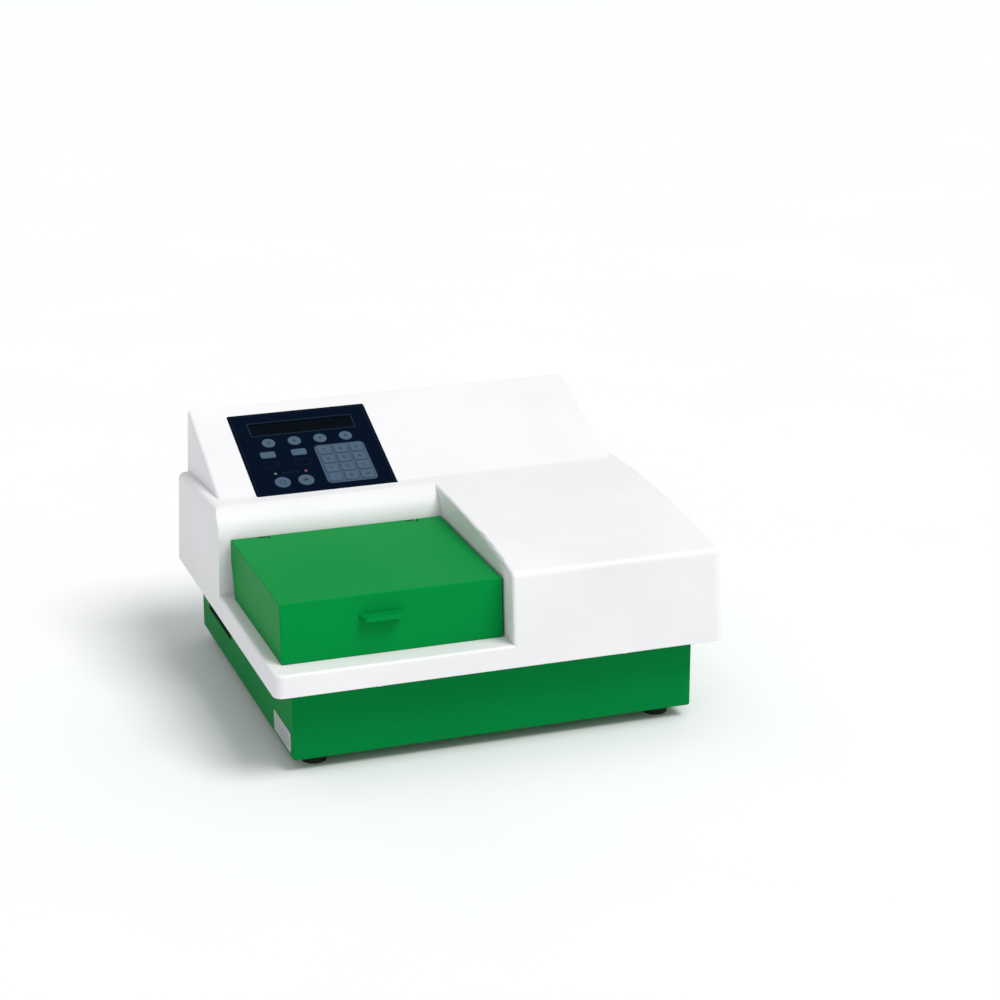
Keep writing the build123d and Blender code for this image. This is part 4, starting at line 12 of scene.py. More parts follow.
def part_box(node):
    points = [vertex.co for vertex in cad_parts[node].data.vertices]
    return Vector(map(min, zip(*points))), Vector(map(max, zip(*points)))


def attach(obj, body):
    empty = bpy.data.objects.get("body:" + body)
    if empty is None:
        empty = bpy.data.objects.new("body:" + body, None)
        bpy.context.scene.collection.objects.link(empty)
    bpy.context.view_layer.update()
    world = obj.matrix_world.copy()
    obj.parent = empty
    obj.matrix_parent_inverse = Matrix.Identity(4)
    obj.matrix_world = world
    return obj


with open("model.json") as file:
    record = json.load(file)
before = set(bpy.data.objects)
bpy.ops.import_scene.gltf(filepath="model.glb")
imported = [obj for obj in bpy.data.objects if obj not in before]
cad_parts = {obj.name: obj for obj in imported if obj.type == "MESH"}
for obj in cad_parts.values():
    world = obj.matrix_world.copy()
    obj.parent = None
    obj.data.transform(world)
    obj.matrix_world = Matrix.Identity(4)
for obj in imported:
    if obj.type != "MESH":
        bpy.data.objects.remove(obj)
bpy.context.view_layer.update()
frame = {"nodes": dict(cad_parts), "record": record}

MM = 0.001
NODES = frame["nodes"]
RIGHT = Vector((1, 0, 0))
LEFT = Vector((-1, 0, 0))
BACK = Vector((0, 1, 0))
UP = Vector((0, 0, 1))

# Camera
CAMERA_PLACE = (-0.73570, -2.28621, 1.00954)
CAMERA_PITCH = 71.105
CAMERA_TURN = -19.274
CAMERA_LENS = 93.22

# Studio
FLOOR_SIZE = 40.0
FLOOR_TONE = (0.90, 0.905, 0.91, 1)
ROOM_TONE = (0.97, 0.985, 1.0, 1)
ROOM_STRENGTH = 0.60
DAYLIGHT_STRENGTH = 2.0
DAYLIGHT_SPREAD = 30.0
DAYLIGHT_PLACE = (0.35, -0.42, 0.90)

# Printed film and fitted details
INK_SHEET = 0.08 * MM
DISPLAY_LINE = 0.5 * MM
DISPLAY_MARGIN = 1.8 * MM
FIELD_MARGIN = 2.6 * MM
FIELD_CORNER = 5.0 * MM
KEY_HOLE_GAP = 0.27 * MM
KEY_HOLE_CORNER = 2.4 * MM
GHOST_DROP = 15.6 * MM
GHOST_LINE = 0.35 * MM
BORDER_LINE = 0.8 * MM
BORDER_INSET = 2.2 * MM
BORDER_CORNER = 1.5 * MM
DISPLAY_CORNER = 1.2 * MM
GHOST_CORNER = 1.0 * MM
LAMP_U = (26.7 * MM, 57.9 * MM)
LAMP_W = 34.5 * MM
LAMP_RADIUS = 1.55 * MM
LAMP_DOME = 0.7 * MM
LAMP_STEPS = 6
TICK_PITCH = 2.6 * MM
TICK_COUNT = 7
TICK_WIDTH = 0.4 * MM
TICK_CORNER = 0.15 * MM
LONG_TICK = 1.6 * MM
SHORT_TICK = 0.9 * MM
LONG_TICK_EVERY = 3
DIGIT_SIZE = 6.4 * MM
SYMBOL_SIZE = 2.6 * MM

BOARD_SHEET = 1.65 * MM

PORT_WIDTH = 17.0 * MM
PORT_HEIGHT = 8.5 * MM
PORT_CORNER = 2.4 * MM
PORT_REACH = 3.0 * MM
PORT_SLEEVE = 0.4 * MM
POST_SPACING = 25.0 * MM
CONTACT_PITCH = 2.76 * MM
CONTACT_ROWS = ((1.42 * MM, 5), (-1.42 * MM, 4))
CONTACT_RADIUS = 0.5 * MM
POST_RADIUS = 2.6 * MM
POST_HEIGHT = 2.8 * MM

LABEL_LENGTH = 58 * MM
LABEL_HEIGHT = 20 * MM
LABEL_SETBACK = 8.5 * MM
LABEL_RISE = 5 * MM
LABEL_SHEET = 0.5 * MM
LABEL_CORNER = 1.6 * MM
LABEL_RIM = 1.0 * MM
LABEL_RIM_RISE = 0.2 * MM
RIVET_INSET = 3.4 * MM
RIVET_RADIUS = 1.5 * MM
RIVET_HEIGHT = 0.7 * MM

FAN_SCREW_INSET = 5.0 * MM
FAN_SCREW_RADIUS = 3.2 * MM
FAN_SCREW_HEIGHT = 1.6 * MM
INLET_SCREW_INSET = 2.1 * MM
INLET_SCREW_RADIUS = 1.8 * MM
INLET_SCREW_HEIGHT = 0.9 * MM

ROCKER_LINE_WIDTH = 0.6 * MM
ROCKER_LINE_LENGTH = 3.2 * MM
ROCKER_LINE_CORNER = 0.2 * MM
ROCKER_RING_RADII = (1.7 * MM, 1.2 * MM)


# ---------------------------------------------------------------- shader nodes
def add_node(tree, kind, inputs=None, **settings):
    """A node with its settings, and its inputs given as plain values or other nodes' outputs."""
    made = tree.nodes.new(kind)
    for name, value in settings.items():
        setattr(made, name, value)
    for name, value in (inputs or {}).items():
        if isinstance(value, bpy.types.NodeSocket):
            tree.links.new(value, made.inputs[name])
        else:
            made.inputs[name].default_value = value
    return made


def new_group(name, inputs, outputs):
    """An empty shader node group with named sockets."""
    tree = bpy.data.node_groups.new(name, "ShaderNodeTree")
    for label, kind, value in inputs:
        tree.interface.new_socket(label, in_out="INPUT", socket_type=kind).default_value = value
    for label, kind in outputs:
        tree.interface.new_socket(label, in_out="OUTPUT", socket_type=kind)
    return tree, tree.nodes.new("NodeGroupInput").outputs


def end_group(tree, outputs):
    """Feeds a group's named outputs."""
    end = tree.nodes.new("NodeGroupOutput")
    for label, socket in outputs.items():
        tree.links.new(socket, end.inputs[label])
    return tree


FLOAT = "NodeSocketFloat"
COLOUR = "NodeSocketColor"
VECTOR = "NodeSocketVector"


def edge_group():
    """Softly rounded edges, and a broken mask along them for a lighter edge colour: partly where hands and
    cloths rub them, partly a painted highlight.
    """
    tree, given = new_group(
        "rounded_edges",
        [("Radius", FLOAT, 0.0008), ("Breakup", FLOAT, 90.0), ("Highlight And Wear", FLOAT, 0.5)],
        [("Edge", FLOAT), ("Normal", VECTOR)],
    )
    rounded = add_node(tree, "ShaderNodeBevel", {"Radius": given["Radius"]}, samples=6)
    flat = add_node(tree, "ShaderNodeNewGeometry")
    turn = add_node(
        tree,
        "ShaderNodeVectorMath",
        {0: rounded.outputs[0], 1: flat.outputs["Normal"]},
        operation="DOT_PRODUCT",
    )
    near = add_node(
        tree,
        "ShaderNodeMapRange",
        {"Value": turn.outputs["Value"], "From Min": 0.995, "From Max": 0.85, "To Min": 0.0, "To Max": 1.0},
    )
    place = add_node(tree, "ShaderNodeTexCoord")
    patches = add_node(
        tree,
        "ShaderNodeTexNoise",
        {"Vector": place.outputs["Object"], "Scale": given["Breakup"], "Detail": 4.0},
    )
    broken = add_node(
        tree,
        "ShaderNodeMapRange",
        {"Value": patches.outputs["Fac"], "From Min": 0.35, "From Max": 0.65},
    )
    # the broken edge mask, where a lighter colour is painted: partly wear, partly painted highlight
    highlit_and_rubbed = add_node(
        tree, "ShaderNodeMath", {0: near.outputs[0], 1: broken.outputs[0]}, operation="MULTIPLY"
    )
    highlight_and_wear = add_node(tree, "ShaderNodeMath", {0: highlit_and_rubbed.outputs[0], 1: given["Highlight And Wear"]}, operation="MULTIPLY")
    return end_group(tree, {"Edge": highlight_and_wear.outputs[0], "Normal": rounded.outputs[0]})


def grain_group():
    """The fine even texture of a moulding tool or a sprayed coat."""
    tree, given = new_group(
        "fine_grain",
        [("Scale", FLOAT, 1500.0), ("Waviness", FLOAT, 14.0), ("Wave Share", FLOAT, 0.3)],
        [("Height", FLOAT), ("Tone", FLOAT)],
    )
    place = add_node(tree, "ShaderNodeTexCoord").outputs["Object"]
    pits = add_node(
        tree, "ShaderNodeTexVoronoi", {"Vector": place, "Scale": given["Scale"]}, feature="SMOOTH_F1"
    )
    waves = add_node(
        tree,
        "ShaderNodeTexNoise",
        {"Vector": place, "Scale": given["Waviness"], "Detail": 2.0, "Roughness": 0.4},
    )
    swell = add_node(
        tree, "ShaderNodeMath", {0: waves.outputs["Fac"], 1: given["Wave Share"]}, operation="MULTIPLY"
    )
    height = add_node(
        tree, "ShaderNodeMath", {0: pits.outputs["Distance"], 1: swell.outputs[0]}, operation="ADD"
    )
    return end_group(tree, {"Height": height.outputs[0], "Tone": waves.outputs["Fac"]})


def mottle_group():
    """A colour that drifts a little in tone over the piece, with a few finer clouds."""
    tree, given = new_group(
        "soft_mottle",
        [("Color", COLOUR, (0.5, 0.5, 0.5, 1)), ("Amount", FLOAT, 0.05), ("Scale", FLOAT, 9.0)],
        [("Color", COLOUR), ("Tone", FLOAT)],
    )
    place = add_node(tree, "ShaderNodeTexCoord").outputs["Object"]
    clouds = add_node(
        tree,
        "ShaderNodeTexNoise",
        {"Vector": place, "Scale": given["Scale"], "Detail": 5.0, "Roughness": 0.55},
    )
    spread = add_node(
        tree,
        "ShaderNodeMapRange",
        {"Value": clouds.outputs["Fac"], "From Min": 0.3, "From Max": 0.7, "To Min": -1.0, "To Max": 1.0},
    )
    shift = add_node(tree, "ShaderNodeMath", {0: spread.outputs[0], 1: given["Amount"]}, operation="MULTIPLY")
    value = add_node(tree, "ShaderNodeMath", {0: shift.outputs[0], 1: 1.0}, operation="ADD")
    toned = add_node(tree, "ShaderNodeHueSaturation", {"Color": given["Color"], "Value": value.outputs[0]})
    return end_group(tree, {"Color": toned.outputs[0], "Tone": clouds.outputs["Fac"]})


def brushed_group():
    """Long fine scratches along one direction, as on drawn, rolled or turned metal."""
    tree, given = new_group(
        "brushed_lines",
        [("Stretch", VECTOR, (1.0, 40.0, 40.0)), ("Scale", FLOAT, 60.0)],
        [("Height", FLOAT), ("Tone", FLOAT)],
    )
    place = add_node(tree, "ShaderNodeTexCoord").outputs["Object"]
    drawn = add_node(tree, "ShaderNodeVectorMath", {0: place, 1: given["Stretch"]}, operation="MULTIPLY")
    lines = add_node(
        tree,
        "ShaderNodeTexNoise",
        {"Vector": drawn.outputs[0], "Scale": given["Scale"], "Detail": 6.0, "Roughness": 0.7},
    )
    clouds = add_node(tree, "ShaderNodeTexNoise", {"Vector": place, "Scale": 22.0, "Detail": 3.0})
    tone = add_node(
        tree, "ShaderNodeMath", {0: lines.outputs["Fac"], 1: clouds.outputs["Fac"]}, operation="MULTIPLY"
    )
    return end_group(tree, {"Height": lines.outputs["Fac"], "Tone": tone.outputs[0]})


def dust_group():
    """A pale film of dust that settles on faces turned upwards."""
    tree, given = new_group(
        "settled_dust",
        [
            ("Color", COLOUR, (0.5, 0.5, 0.5, 1)),
            ("Dust", COLOUR, (0.6, 0.6, 0.58, 1)),
            ("Amount", FLOAT, 0.05),
        ],
        [("Color", COLOUR), ("Mask", FLOAT)],
    )
    facing = add_node(
        tree, "ShaderNodeSeparateXYZ", {0: add_node(tree, "ShaderNodeNewGeometry").outputs["Normal"]}
    )
    flat_up = add_node(
        tree, "ShaderNodeMapRange", {"Value": facing.outputs["Z"], "From Min": 0.3, "From Max": 1.0}
    )
    place = add_node(tree, "ShaderNodeTexCoord").outputs["Object"]
    specks = add_node(
        tree, "ShaderNodeTexNoise", {"Vector": place, "Scale": 420.0, "Detail": 8.0, "Roughness": 0.75}
    )
    settled = add_node(
        tree, "ShaderNodeMapRange", {"Value": specks.outputs["Fac"], "From Min": 0.48, "From Max": 0.75}
    )
    share = add_node(
        tree, "ShaderNodeMath", {0: flat_up.outputs[0], 1: settled.outputs[0]}, operation="MULTIPLY"
    )
    mask = add_node(tree, "ShaderNodeMath", {0: share.outputs[0], 1: given["Amount"]}, operation="MULTIPLY")
    mixed = add_node(
        tree,
        "ShaderNodeMix",
        {0: mask.outputs[0], 6: given["Color"], 7: given["Dust"]},
        data_type="RGBA",
    )
    return end_group(tree, {"Color": mixed.outputs[2], "Mask": mask.outputs[0]})


EDGES = edge_group()
GRAIN = grain_group()
MOTTLE = mottle_group()
BRUSHED = brushed_group()
DUST = dust_group()


def place_group(tree, group, inputs=None):
    """A shader node group placed in a material with its own values."""
    made = tree.nodes.new("ShaderNodeGroup")
    made.node_tree = group
    for name, value in (inputs or {}).items():
        if isinstance(value, bpy.types.NodeSocket):
            tree.links.new(value, made.inputs[name])
        else:
            made.inputs[name].default_value = value
    return made.outputs


def new_material(name, **constants):
    """A material with its shader, whose constant sockets are set by name; words join with a space."""
    material = bpy.data.materials.new(name)
    material.use_nodes = True
    tree = material.node_tree
    shader = tree.nodes["Principled BSDF"]
    for label, value in constants.items():
        shader.inputs[label.replace("_", " ")].default_value = value
    return material, tree, shader


def mix_colours(tree, share, first, second):
    """One colour over another by a mask."""
    mixed = add_node(tree, "ShaderNodeMix", {0: share, 6: first, 7: second}, data_type="RGBA")
    return mixed.outputs[2]


def spread_value(tree, mask, low, high):
    """A mask from 0 to 1 spread between two values."""
    spread = add_node(tree, "ShaderNodeMapRange", {"Value": mask, "To Min": low, "To Max": high})
    return spread.outputs[0]


def bump(tree, height, strength, distance, normal=None):
    """A bump over a normal."""
    inputs = {"Height": height, "Strength": strength, "Distance": distance}
    if normal is not None:
        inputs["Normal"] = normal
    return add_node(tree, "ShaderNodeBump", inputs).outputs[0]


# ---------------------------------------------------------------- finishes
def coated(
    name, colour, highlight_and_wear, rough, grain=1500.0, depth=0.00006, highlight_and_wear_share=0.25, radius=0.0007, dust=0.04, **constants
):
    """A moulded or sprayed skin: grain, drifting tone, edges painted lighter as part wear and part painted
    highlight, a little dust.
    """
    material, tree, shader = new_material(name, **constants)
    edge = place_group(tree, EDGES, {"Radius": radius, "Highlight And Wear": highlight_and_wear_share})
    skin = place_group(tree, GRAIN, {"Scale": grain})
    body = place_group(tree, MOTTLE, {"Color": colour, "Amount": 0.03})
    # painted highlight and wear: the edges are mixed towards a lighter colour
    highlit_and_rubbed = mix_colours(tree, edge["Edge"], body["Color"], highlight_and_wear)
    dusty = place_group(tree, DUST, {"Color": highlit_and_rubbed, "Amount": dust})
    tree.links.new(dusty["Color"], shader.inputs["Base Color"])
    tree.links.new(spread_value(tree, skin["Tone"], rough[0], rough[1]), shader.inputs["Roughness"])
    tree.links.new(bump(tree, skin["Height"], 0.35, depth, edge["Normal"]), shader.inputs["Normal"])
    return material


def metal(name, colour, dark, rough, stretch, scale=60.0, depth=0.00003, radius=0.0005):
    """Bare metal with the lines of its rolling, drawing or turning."""
    material, tree, shader = new_material(name, Metallic=1.0)
    edge = place_group(tree, EDGES, {"Radius": radius, "Highlight And Wear": 0.6})
    lines = place_group(tree, BRUSHED, {"Stretch": stretch, "Scale": scale})
    body = mix_colours(tree, lines["Tone"], dark, colour)
    bright = mix_colours(tree, edge["Edge"], body, (0.85, 0.85, 0.86, 1))
    tree.links.new(bright, shader.inputs["Base Color"])
    tree.links.new(spread_value(tree, lines["Height"], rough[0], rough[1]), shader.inputs["Roughness"])
    tree.links.new(bump(tree, lines["Height"], 0.25, depth, edge["Normal"]), shader.inputs["Normal"])
    return material


def glass(name, tint, rough=0.03, see_through=1.0):
    """Clear or tinted glass with faint smears."""
    material, tree, shader = new_material(name, Transmission_Weight=see_through, IOR=1.5)
    body = place_group(tree, MOTTLE, {"Color": tint, "Amount": 0.04, "Scale": 30.0})
    tree.links.new(body["Color"], shader.inputs["Base Color"])
    tree.links.new(spread_value(tree, body["Tone"], rough, rough * 2.5), shader.inputs["Roughness"])
    return material


def case_white():
    # the second colour is the lighter edge colour, a painted highlight and wear
    return coated(
        "case_white", (0.82, 0.815, 0.825, 1), (0.88, 0.88, 0.88, 1), (0.42, 0.52), grain=1300.0, dust=0.02,
        Specular_IOR_Level=0.3,
    )


def case_green():
    return coated(
        "case_green", (0.0, 0.215, 0.043, 1), (0.01, 0.28, 0.09, 1), (0.42, 0.52), grain=900.0, depth=0.00008,
        dust=0.0, Specular_IOR_Level=0.03,
    )


def cover_green():
    return coated(
        "cover_green",
        (0.0, 0.25, 0.046, 1),
        (0.01, 0.33, 0.09, 1),
        (0.38, 0.48),
        grain=1600.0,
        radius=0.0009,
        dust=0.0, Specular_IOR_Level=0.03,
    )


def panel_navy():
    return coated(
        "panel_navy",
        (0.0008, 0.0045, 0.014, 1),
        (0.003, 0.008, 0.02, 1),
        (0.36, 0.46),
        grain=2600.0,
        depth=0.00002,
        radius=0.0003, dust=0.0, Specular_IOR_Level=0.01,
    )


def key_light():
    return coated(
        "key_light",
        (0.064, 0.104, 0.156, 1),
        (0.08, 0.125, 0.18, 1),
        (0.40, 0.50),
        grain=2600.0,
        depth=0.00002,
        radius=0.0003, dust=0.0, Specular_IOR_Level=0.08,
    )


def display_glass():
    """A dark display behind glass: a faint grid of character cells under a clean surface."""
    material, tree, shader = new_material("display_glass", Specular_IOR_Level=0.012)
    place = add_node(tree, "ShaderNodeTexCoord").outputs["Object"]
    cells = add_node(
        tree,
        "ShaderNodeTexBrick",
        {
            "Vector": place,
            "Color1": (0.0016, 0.0035, 0.0055, 1),
            "Color2": (0.0020, 0.0042, 0.0062, 1),
            "Mortar": (0.0010, 0.0022, 0.0036, 1),
            "Scale": 1.0,
            "Mortar Size": 0.0004,
            "Brick Width": 0.0048,
            "Row Height": 0.0075,
        },
        offset=0.0,
    )
    smears = place_group(tree, MOTTLE, {"Color": cells.outputs["Color"], "Amount": 0.1, "Scale": 45.0})
    tree.links.new(smears["Color"], shader.inputs["Base Color"])
    tree.links.new(spread_value(tree, smears["Tone"], 0.08, 0.2), shader.inputs["Roughness"])
    return material


def steel_zinc():
    return metal("steel_zinc", (0.62, 0.63, 0.62, 1), (0.42, 0.43, 0.43, 1), (0.32, 0.5), (30.0, 1.0, 30.0))


def steel_bright():
    return metal(
        "steel_bright", (0.80, 0.80, 0.81, 1), (0.62, 0.62, 0.63, 1), (0.12, 0.24), (40.0, 1.0, 40.0)
    )


def aluminium():
    return metal(
        "aluminium", (0.78, 0.79, 0.80, 1), (0.55, 0.56, 0.58, 1), (0.28, 0.42), (1.0, 45.0, 45.0), scale=45.0
    )


def black_anodised():
    return metal(
        "black_anodised",
        (0.16, 0.16, 0.17, 1),
        (0.07, 0.07, 0.075, 1),
        (0.35, 0.5),
        (45.0, 1.0, 45.0),
        radius=0.0004,
    )


def black_plastic():
    return coated(
        "black_plastic",
        (0.022, 0.022, 0.023, 1),
        (0.08, 0.08, 0.08, 1),
        (0.38, 0.5),
        grain=1400.0,
        radius=0.0004,
    )


def foot_rubber():
    return coated(
        "foot_rubber",
        (0.014, 0.014, 0.014, 1),
        (0.05, 0.05, 0.05, 1),
        (0.7, 0.85),
        grain=700.0,
        depth=0.00012,
        radius=0.0012, dust=0.1, Specular_IOR_Level=0.3,
    )


def board_green(name="board_green", parts_level=None):
    """Lacquered circuit board: a close net of copper tracks under green lacquer.
    What stands above a given level is a dark moulded part that sits on the board."""
    material, tree, shader = new_material(name, Coat_Weight=0.3, Coat_Roughness=0.15)
    place = add_node(tree, "ShaderNodeTexCoord").outputs["Object"]
    tracks = add_node(
        tree,
        "ShaderNodeTexVoronoi",
        {"Vector": place, "Scale": 330.0, "Randomness": 0.4},
        feature="DISTANCE_TO_EDGE",
    )
    gap = add_node(
        tree, "ShaderNodeMapRange", {"Value": tracks.outputs["Distance"], "From Min": 0.05, "From Max": 0.12}
    )
    lacquer = mix_colours(tree, gap.outputs[0], (0.018, 0.15, 0.05, 1), (0.004, 0.062, 0.022, 1))
    body = place_group(tree, MOTTLE, {"Color": lacquer, "Amount": 0.06, "Scale": 40.0})
    edge = place_group(tree, EDGES, {"Radius": 0.0003, "Highlight And Wear": 0.4})
    shown = mix_colours(tree, edge["Edge"], body["Color"], (0.30, 0.33, 0.16, 1))
    if parts_level is not None:
        height = add_node(tree, "ShaderNodeSeparateXYZ", {0: place}).outputs["Z"]
        above = add_node(
            tree,
            "ShaderNodeMapRange",
            {"Value": height, "From Min": parts_level, "From Max": parts_level + 0.1 * MM},
        )
        shown = mix_colours(tree, above.outputs[0], shown, (0.02, 0.02, 0.022, 1))
    tree.links.new(shown, shader.inputs["Base Color"])
    tree.links.new(spread_value(tree, body["Tone"], 0.3, 0.45), shader.inputs["Roughness"])
    tree.links.new(bump(tree, gap.outputs[0], 0.2, 0.00003, edge["Normal"]), shader.inputs["Normal"])
    return material


def belt_rubber():
    return coated(
        "belt_rubber",
        (0.016, 0.016, 0.017, 1),
        (0.05, 0.05, 0.05, 1),
        (0.6, 0.75),
        grain=900.0,
        radius=0.0003,
        dust=0.06,
    )


def glass_clear():
    return glass("glass_clear", (0.93, 0.97, 0.98, 1))


def filter_glass():
    return glass("filter_glass", (0.85, 0.55, 0.18, 1), rough=0.02, see_through=0.8)


def guide_fibre():
    return coated(
        "guide_fibre",
        (0.62, 0.66, 0.70, 1),
        (0.8, 0.82, 0.84, 1),
        (0.2, 0.3),
        grain=2200.0,
        depth=0.00002,
        radius=0.0002,
    )


def copper_coil():
    """Lacquered copper winding, with the lay of its wire."""
    material, tree, shader = new_material("copper_coil", Metallic=0.85, Coat_Weight=0.5)
    place = add_node(tree, "ShaderNodeTexCoord").outputs["Object"]
    wires = add_node(
        tree, "ShaderNodeTexWave", {"Vector": place, "Scale": 260.0, "Distortion": 0.4}, bands_direction="Z"
    )
    body = mix_colours(tree, wires.outputs["Fac"], (0.30, 0.11, 0.03, 1), (0.72, 0.34, 0.13, 1))
    tree.links.new(body, shader.inputs["Base Color"])
    tree.links.new(spread_value(tree, wires.outputs["Fac"], 0.25, 0.4), shader.inputs["Roughness"])
    tree.links.new(bump(tree, wires.outputs["Fac"], 0.6, 0.0001), shader.inputs["Normal"])
    return material


def ink(name, colour, rough=0.45):
    """A screen-printed colour, a little uneven where the squeegee left it thin."""
    material, tree, shader = new_material(name, Specular_IOR_Level=0.08)
    body = place_group(tree, MOTTLE, {"Color": colour, "Amount": 0.08, "Scale": 160.0})
    tree.links.new(body["Color"], shader.inputs["Base Color"])
    tree.links.new(spread_value(tree, body["Tone"], rough - 0.06, rough + 0.06), shader.inputs["Roughness"])
    skin = place_group(tree, GRAIN, {"Scale": 2600.0})
    tree.links.new(bump(tree, skin["Height"], 0.3, 0.00002), shader.inputs["Normal"])
    return material


def lens_plastic(name, colour):
    """A tinted lens over a signal lamp that is off."""
    material, tree, shader = new_material(name, Transmission_Weight=0.35, IOR=1.49, Coat_Weight=0.5)
    body = place_group(tree, MOTTLE, {"Color": colour, "Amount": 0.1, "Scale": 300.0})
    tree.links.new(body["Color"], shader.inputs["Base Color"])
    tree.links.new(spread_value(tree, body["Tone"], 0.08, 0.2), shader.inputs["Roughness"])
    return material


FINISHES = {
    make.__name__: make()
    for make in (
        case_white, case_green, cover_green, panel_navy, key_light, display_glass, steel_zinc, steel_bright,
        aluminium, black_anodised, black_plastic, foot_rubber, board_green, belt_rubber, glass_clear,
        filter_glass, guide_fibre, copper_coil,
    )
}
for part in frame["record"]["subparts"]:
    mesh = NODES[part["node"]].data
    mesh.materials.clear()
    mesh.materials.append(FINISHES[part["material_slot"]])
NODES["hinge_brackets"].data.materials[0] = FINISHES["cover_green"]
NODES["main_board"].data.materials[0] = board_green(
    "populated_board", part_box("main_board")[0].z + BOARD_SHEET
)

LEGEND_INK = ink("legend_ink", (0.014, 0.026, 0.048, 1))
LINE_INK = ink("line_ink", (0.022, 0.04, 0.062, 1))
GHOST_INK = ink("ghost_ink", (0.010, 0.012, 0.026, 1))
BORDER_INK = ink("border_ink", (0.003, 0.005, 0.011, 1))
FIELD_INK = ink("field_ink", (0.052, 0.087, 0.132, 1))
MARK_WHITE = ink("mark_white", (0.7, 0.7, 0.7, 1))
GREEN_LENS = lens_plastic("green_lens", (0.10, 0.24, 0.16, 1))
RED_LENS = lens_plastic("red_lens", (0.34, 0.06, 0.16, 1))
LABEL_METAL = metal(
    "label_metal", (0.74, 0.75, 0.77, 1), (0.6, 0.61, 0.63, 1), (0.3, 0.42), (40.0, 1.0, 40.0), scale=80.0
)


# ---------------------------------------------------------------- making pieces
def finish_piece(name, mesh, material, body, smooth=math.radians(40)):
    """A finished piece: its place is in its mesh, its finish is set, and it rides on its body."""
    mesh.name = name
    mesh.materials.clear()
    mesh.materials.append(material)
    for face in mesh.polygons:
        face.material_index = 0
        face.use_smooth = True
    mesh.set_sharp_from_angle(angle=smooth)
    piece = bpy.data.objects.new(name, mesh)
    bpy.context.scene.collection.objects.link(piece)
    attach(piece, body)
    return piece


def plain_mesh(maker):
    """The plain mesh of an object with its curves and modifiers worked out; the object is removed."""
    bpy.context.scene.collection.objects.link(maker)
    bpy.context.view_layer.update()
    shown = maker.evaluated_get(bpy.context.evaluated_depsgraph_get())
    mesh = bpy.data.meshes.new_from_object(shown)
    bpy.data.objects.remove(maker)
    return mesh


def flat_mesh(outlines, sheet, place):
    """A thin sheet cut to closed outlines, each inside the last a hole, lying on a place's plane."""
    curve = bpy.data.curves.new("outline", "CURVE")
    curve.dimensions = "2D"
    curve.fill_mode = "BOTH"
    curve.extrude = sheet / 2
    for outline in outlines:
        line = curve.splines.new("POLY")
        line.points.add(len(outline) - 1)
        for point, (u, w) in zip(line.points, outline):
            point.co = (u, w, 0, 1)
        line.use_cyclic_u = True
    mesh = plain_mesh(bpy.data.objects.new("outline", curve))
    mesh.transform(place @ Matrix.Translation((0, 0, sheet / 2)))
    return mesh


def text_mesh(words, size, sheet, place):
    """Plain characters, centred on a place."""
    curve = bpy.data.curves.new("words", "FONT")
    curve.body = words
    curve.size = size
    curve.extrude = sheet / 2
    curve.align_x = "CENTER"
    curve.align_y = "CENTER"
    mesh = plain_mesh(bpy.data.objects.new("words", curve))
    mesh.transform(place @ Matrix.Translation((0, 0, sheet / 2)))
    return mesh


def joined(meshes):
    """Several meshes as one."""
    whole = bmesh.new()
    for mesh in meshes:
        whole.from_mesh(mesh)
    result = bpy.data.meshes.new("joined")
    whole.to_mesh(result)
    whole.free()
    return result


def rounded_outline(low, high, corner, steps=6):
    """The points of a rectangle with rounded corners."""
    centres = [
        (high[0] - corner, high[1] - corner, 0),
        (low[0] + corner, high[1] - corner, 1),
        (low[0] + corner, low[1] + corner, 2),
        (high[0] - corner, low[1] + corner, 3),
    ]
    return [
        (
            u + corner * math.cos((quarter + step / steps) * math.pi / 2),
            w + corner * math.sin((quarter + step / steps) * math.pi / 2),
        )
        for u, w, quarter in centres
        for step in range(steps + 1)
    ]


def circle_outline(middle, radius, steps=40):
    """The points of a circle."""
    turns = [2 * math.pi * step / steps for step in range(steps)]
    return [(middle[0] + radius * math.cos(turn), middle[1] + radius * math.sin(turn)) for turn in turns]


def grown(low, high, margin):
    """A rectangle's corners moved outwards."""
    return (low[0] - margin, low[1] - margin), (high[0] + margin, high[1] + margin)


def outline_ring(low, high, corner, line):
    """A printed line round a rectangle."""
    inner_low, inner_high = grown(low, high, -line)
    inner_corner = max(corner - line, line / 2)
    return [rounded_outline(low, high, corner), rounded_outline(inner_low, inner_high, inner_corner)]


def turned_mesh(profile, place, steps=32):
    """A closed shape turned about its place's Z axis from a profile of (radius, height) points."""
    made = bmesh.new()
    rings = []
    for radius, height in profile:
        ring = [
            made.verts.new((radius * math.cos(turn), radius * math.sin(turn), height))
            for turn in (2 * math.pi * step / steps for step in range(steps))
        ]
        rings.append(ring)
    for lower, upper in zip(rings, rings[1:]):
        for step in range(steps):
            following = (step + 1) % steps
            made.faces.new((lower[step], lower[following], upper[following], upper[step]))
    made.faces.new(list(reversed(rings[0])))
    made.faces.new(rings[-1])
    made.transform(place)
    mesh = bpy.data.meshes.new("turned")
    made.to_mesh(mesh)
    made.free()
    return mesh


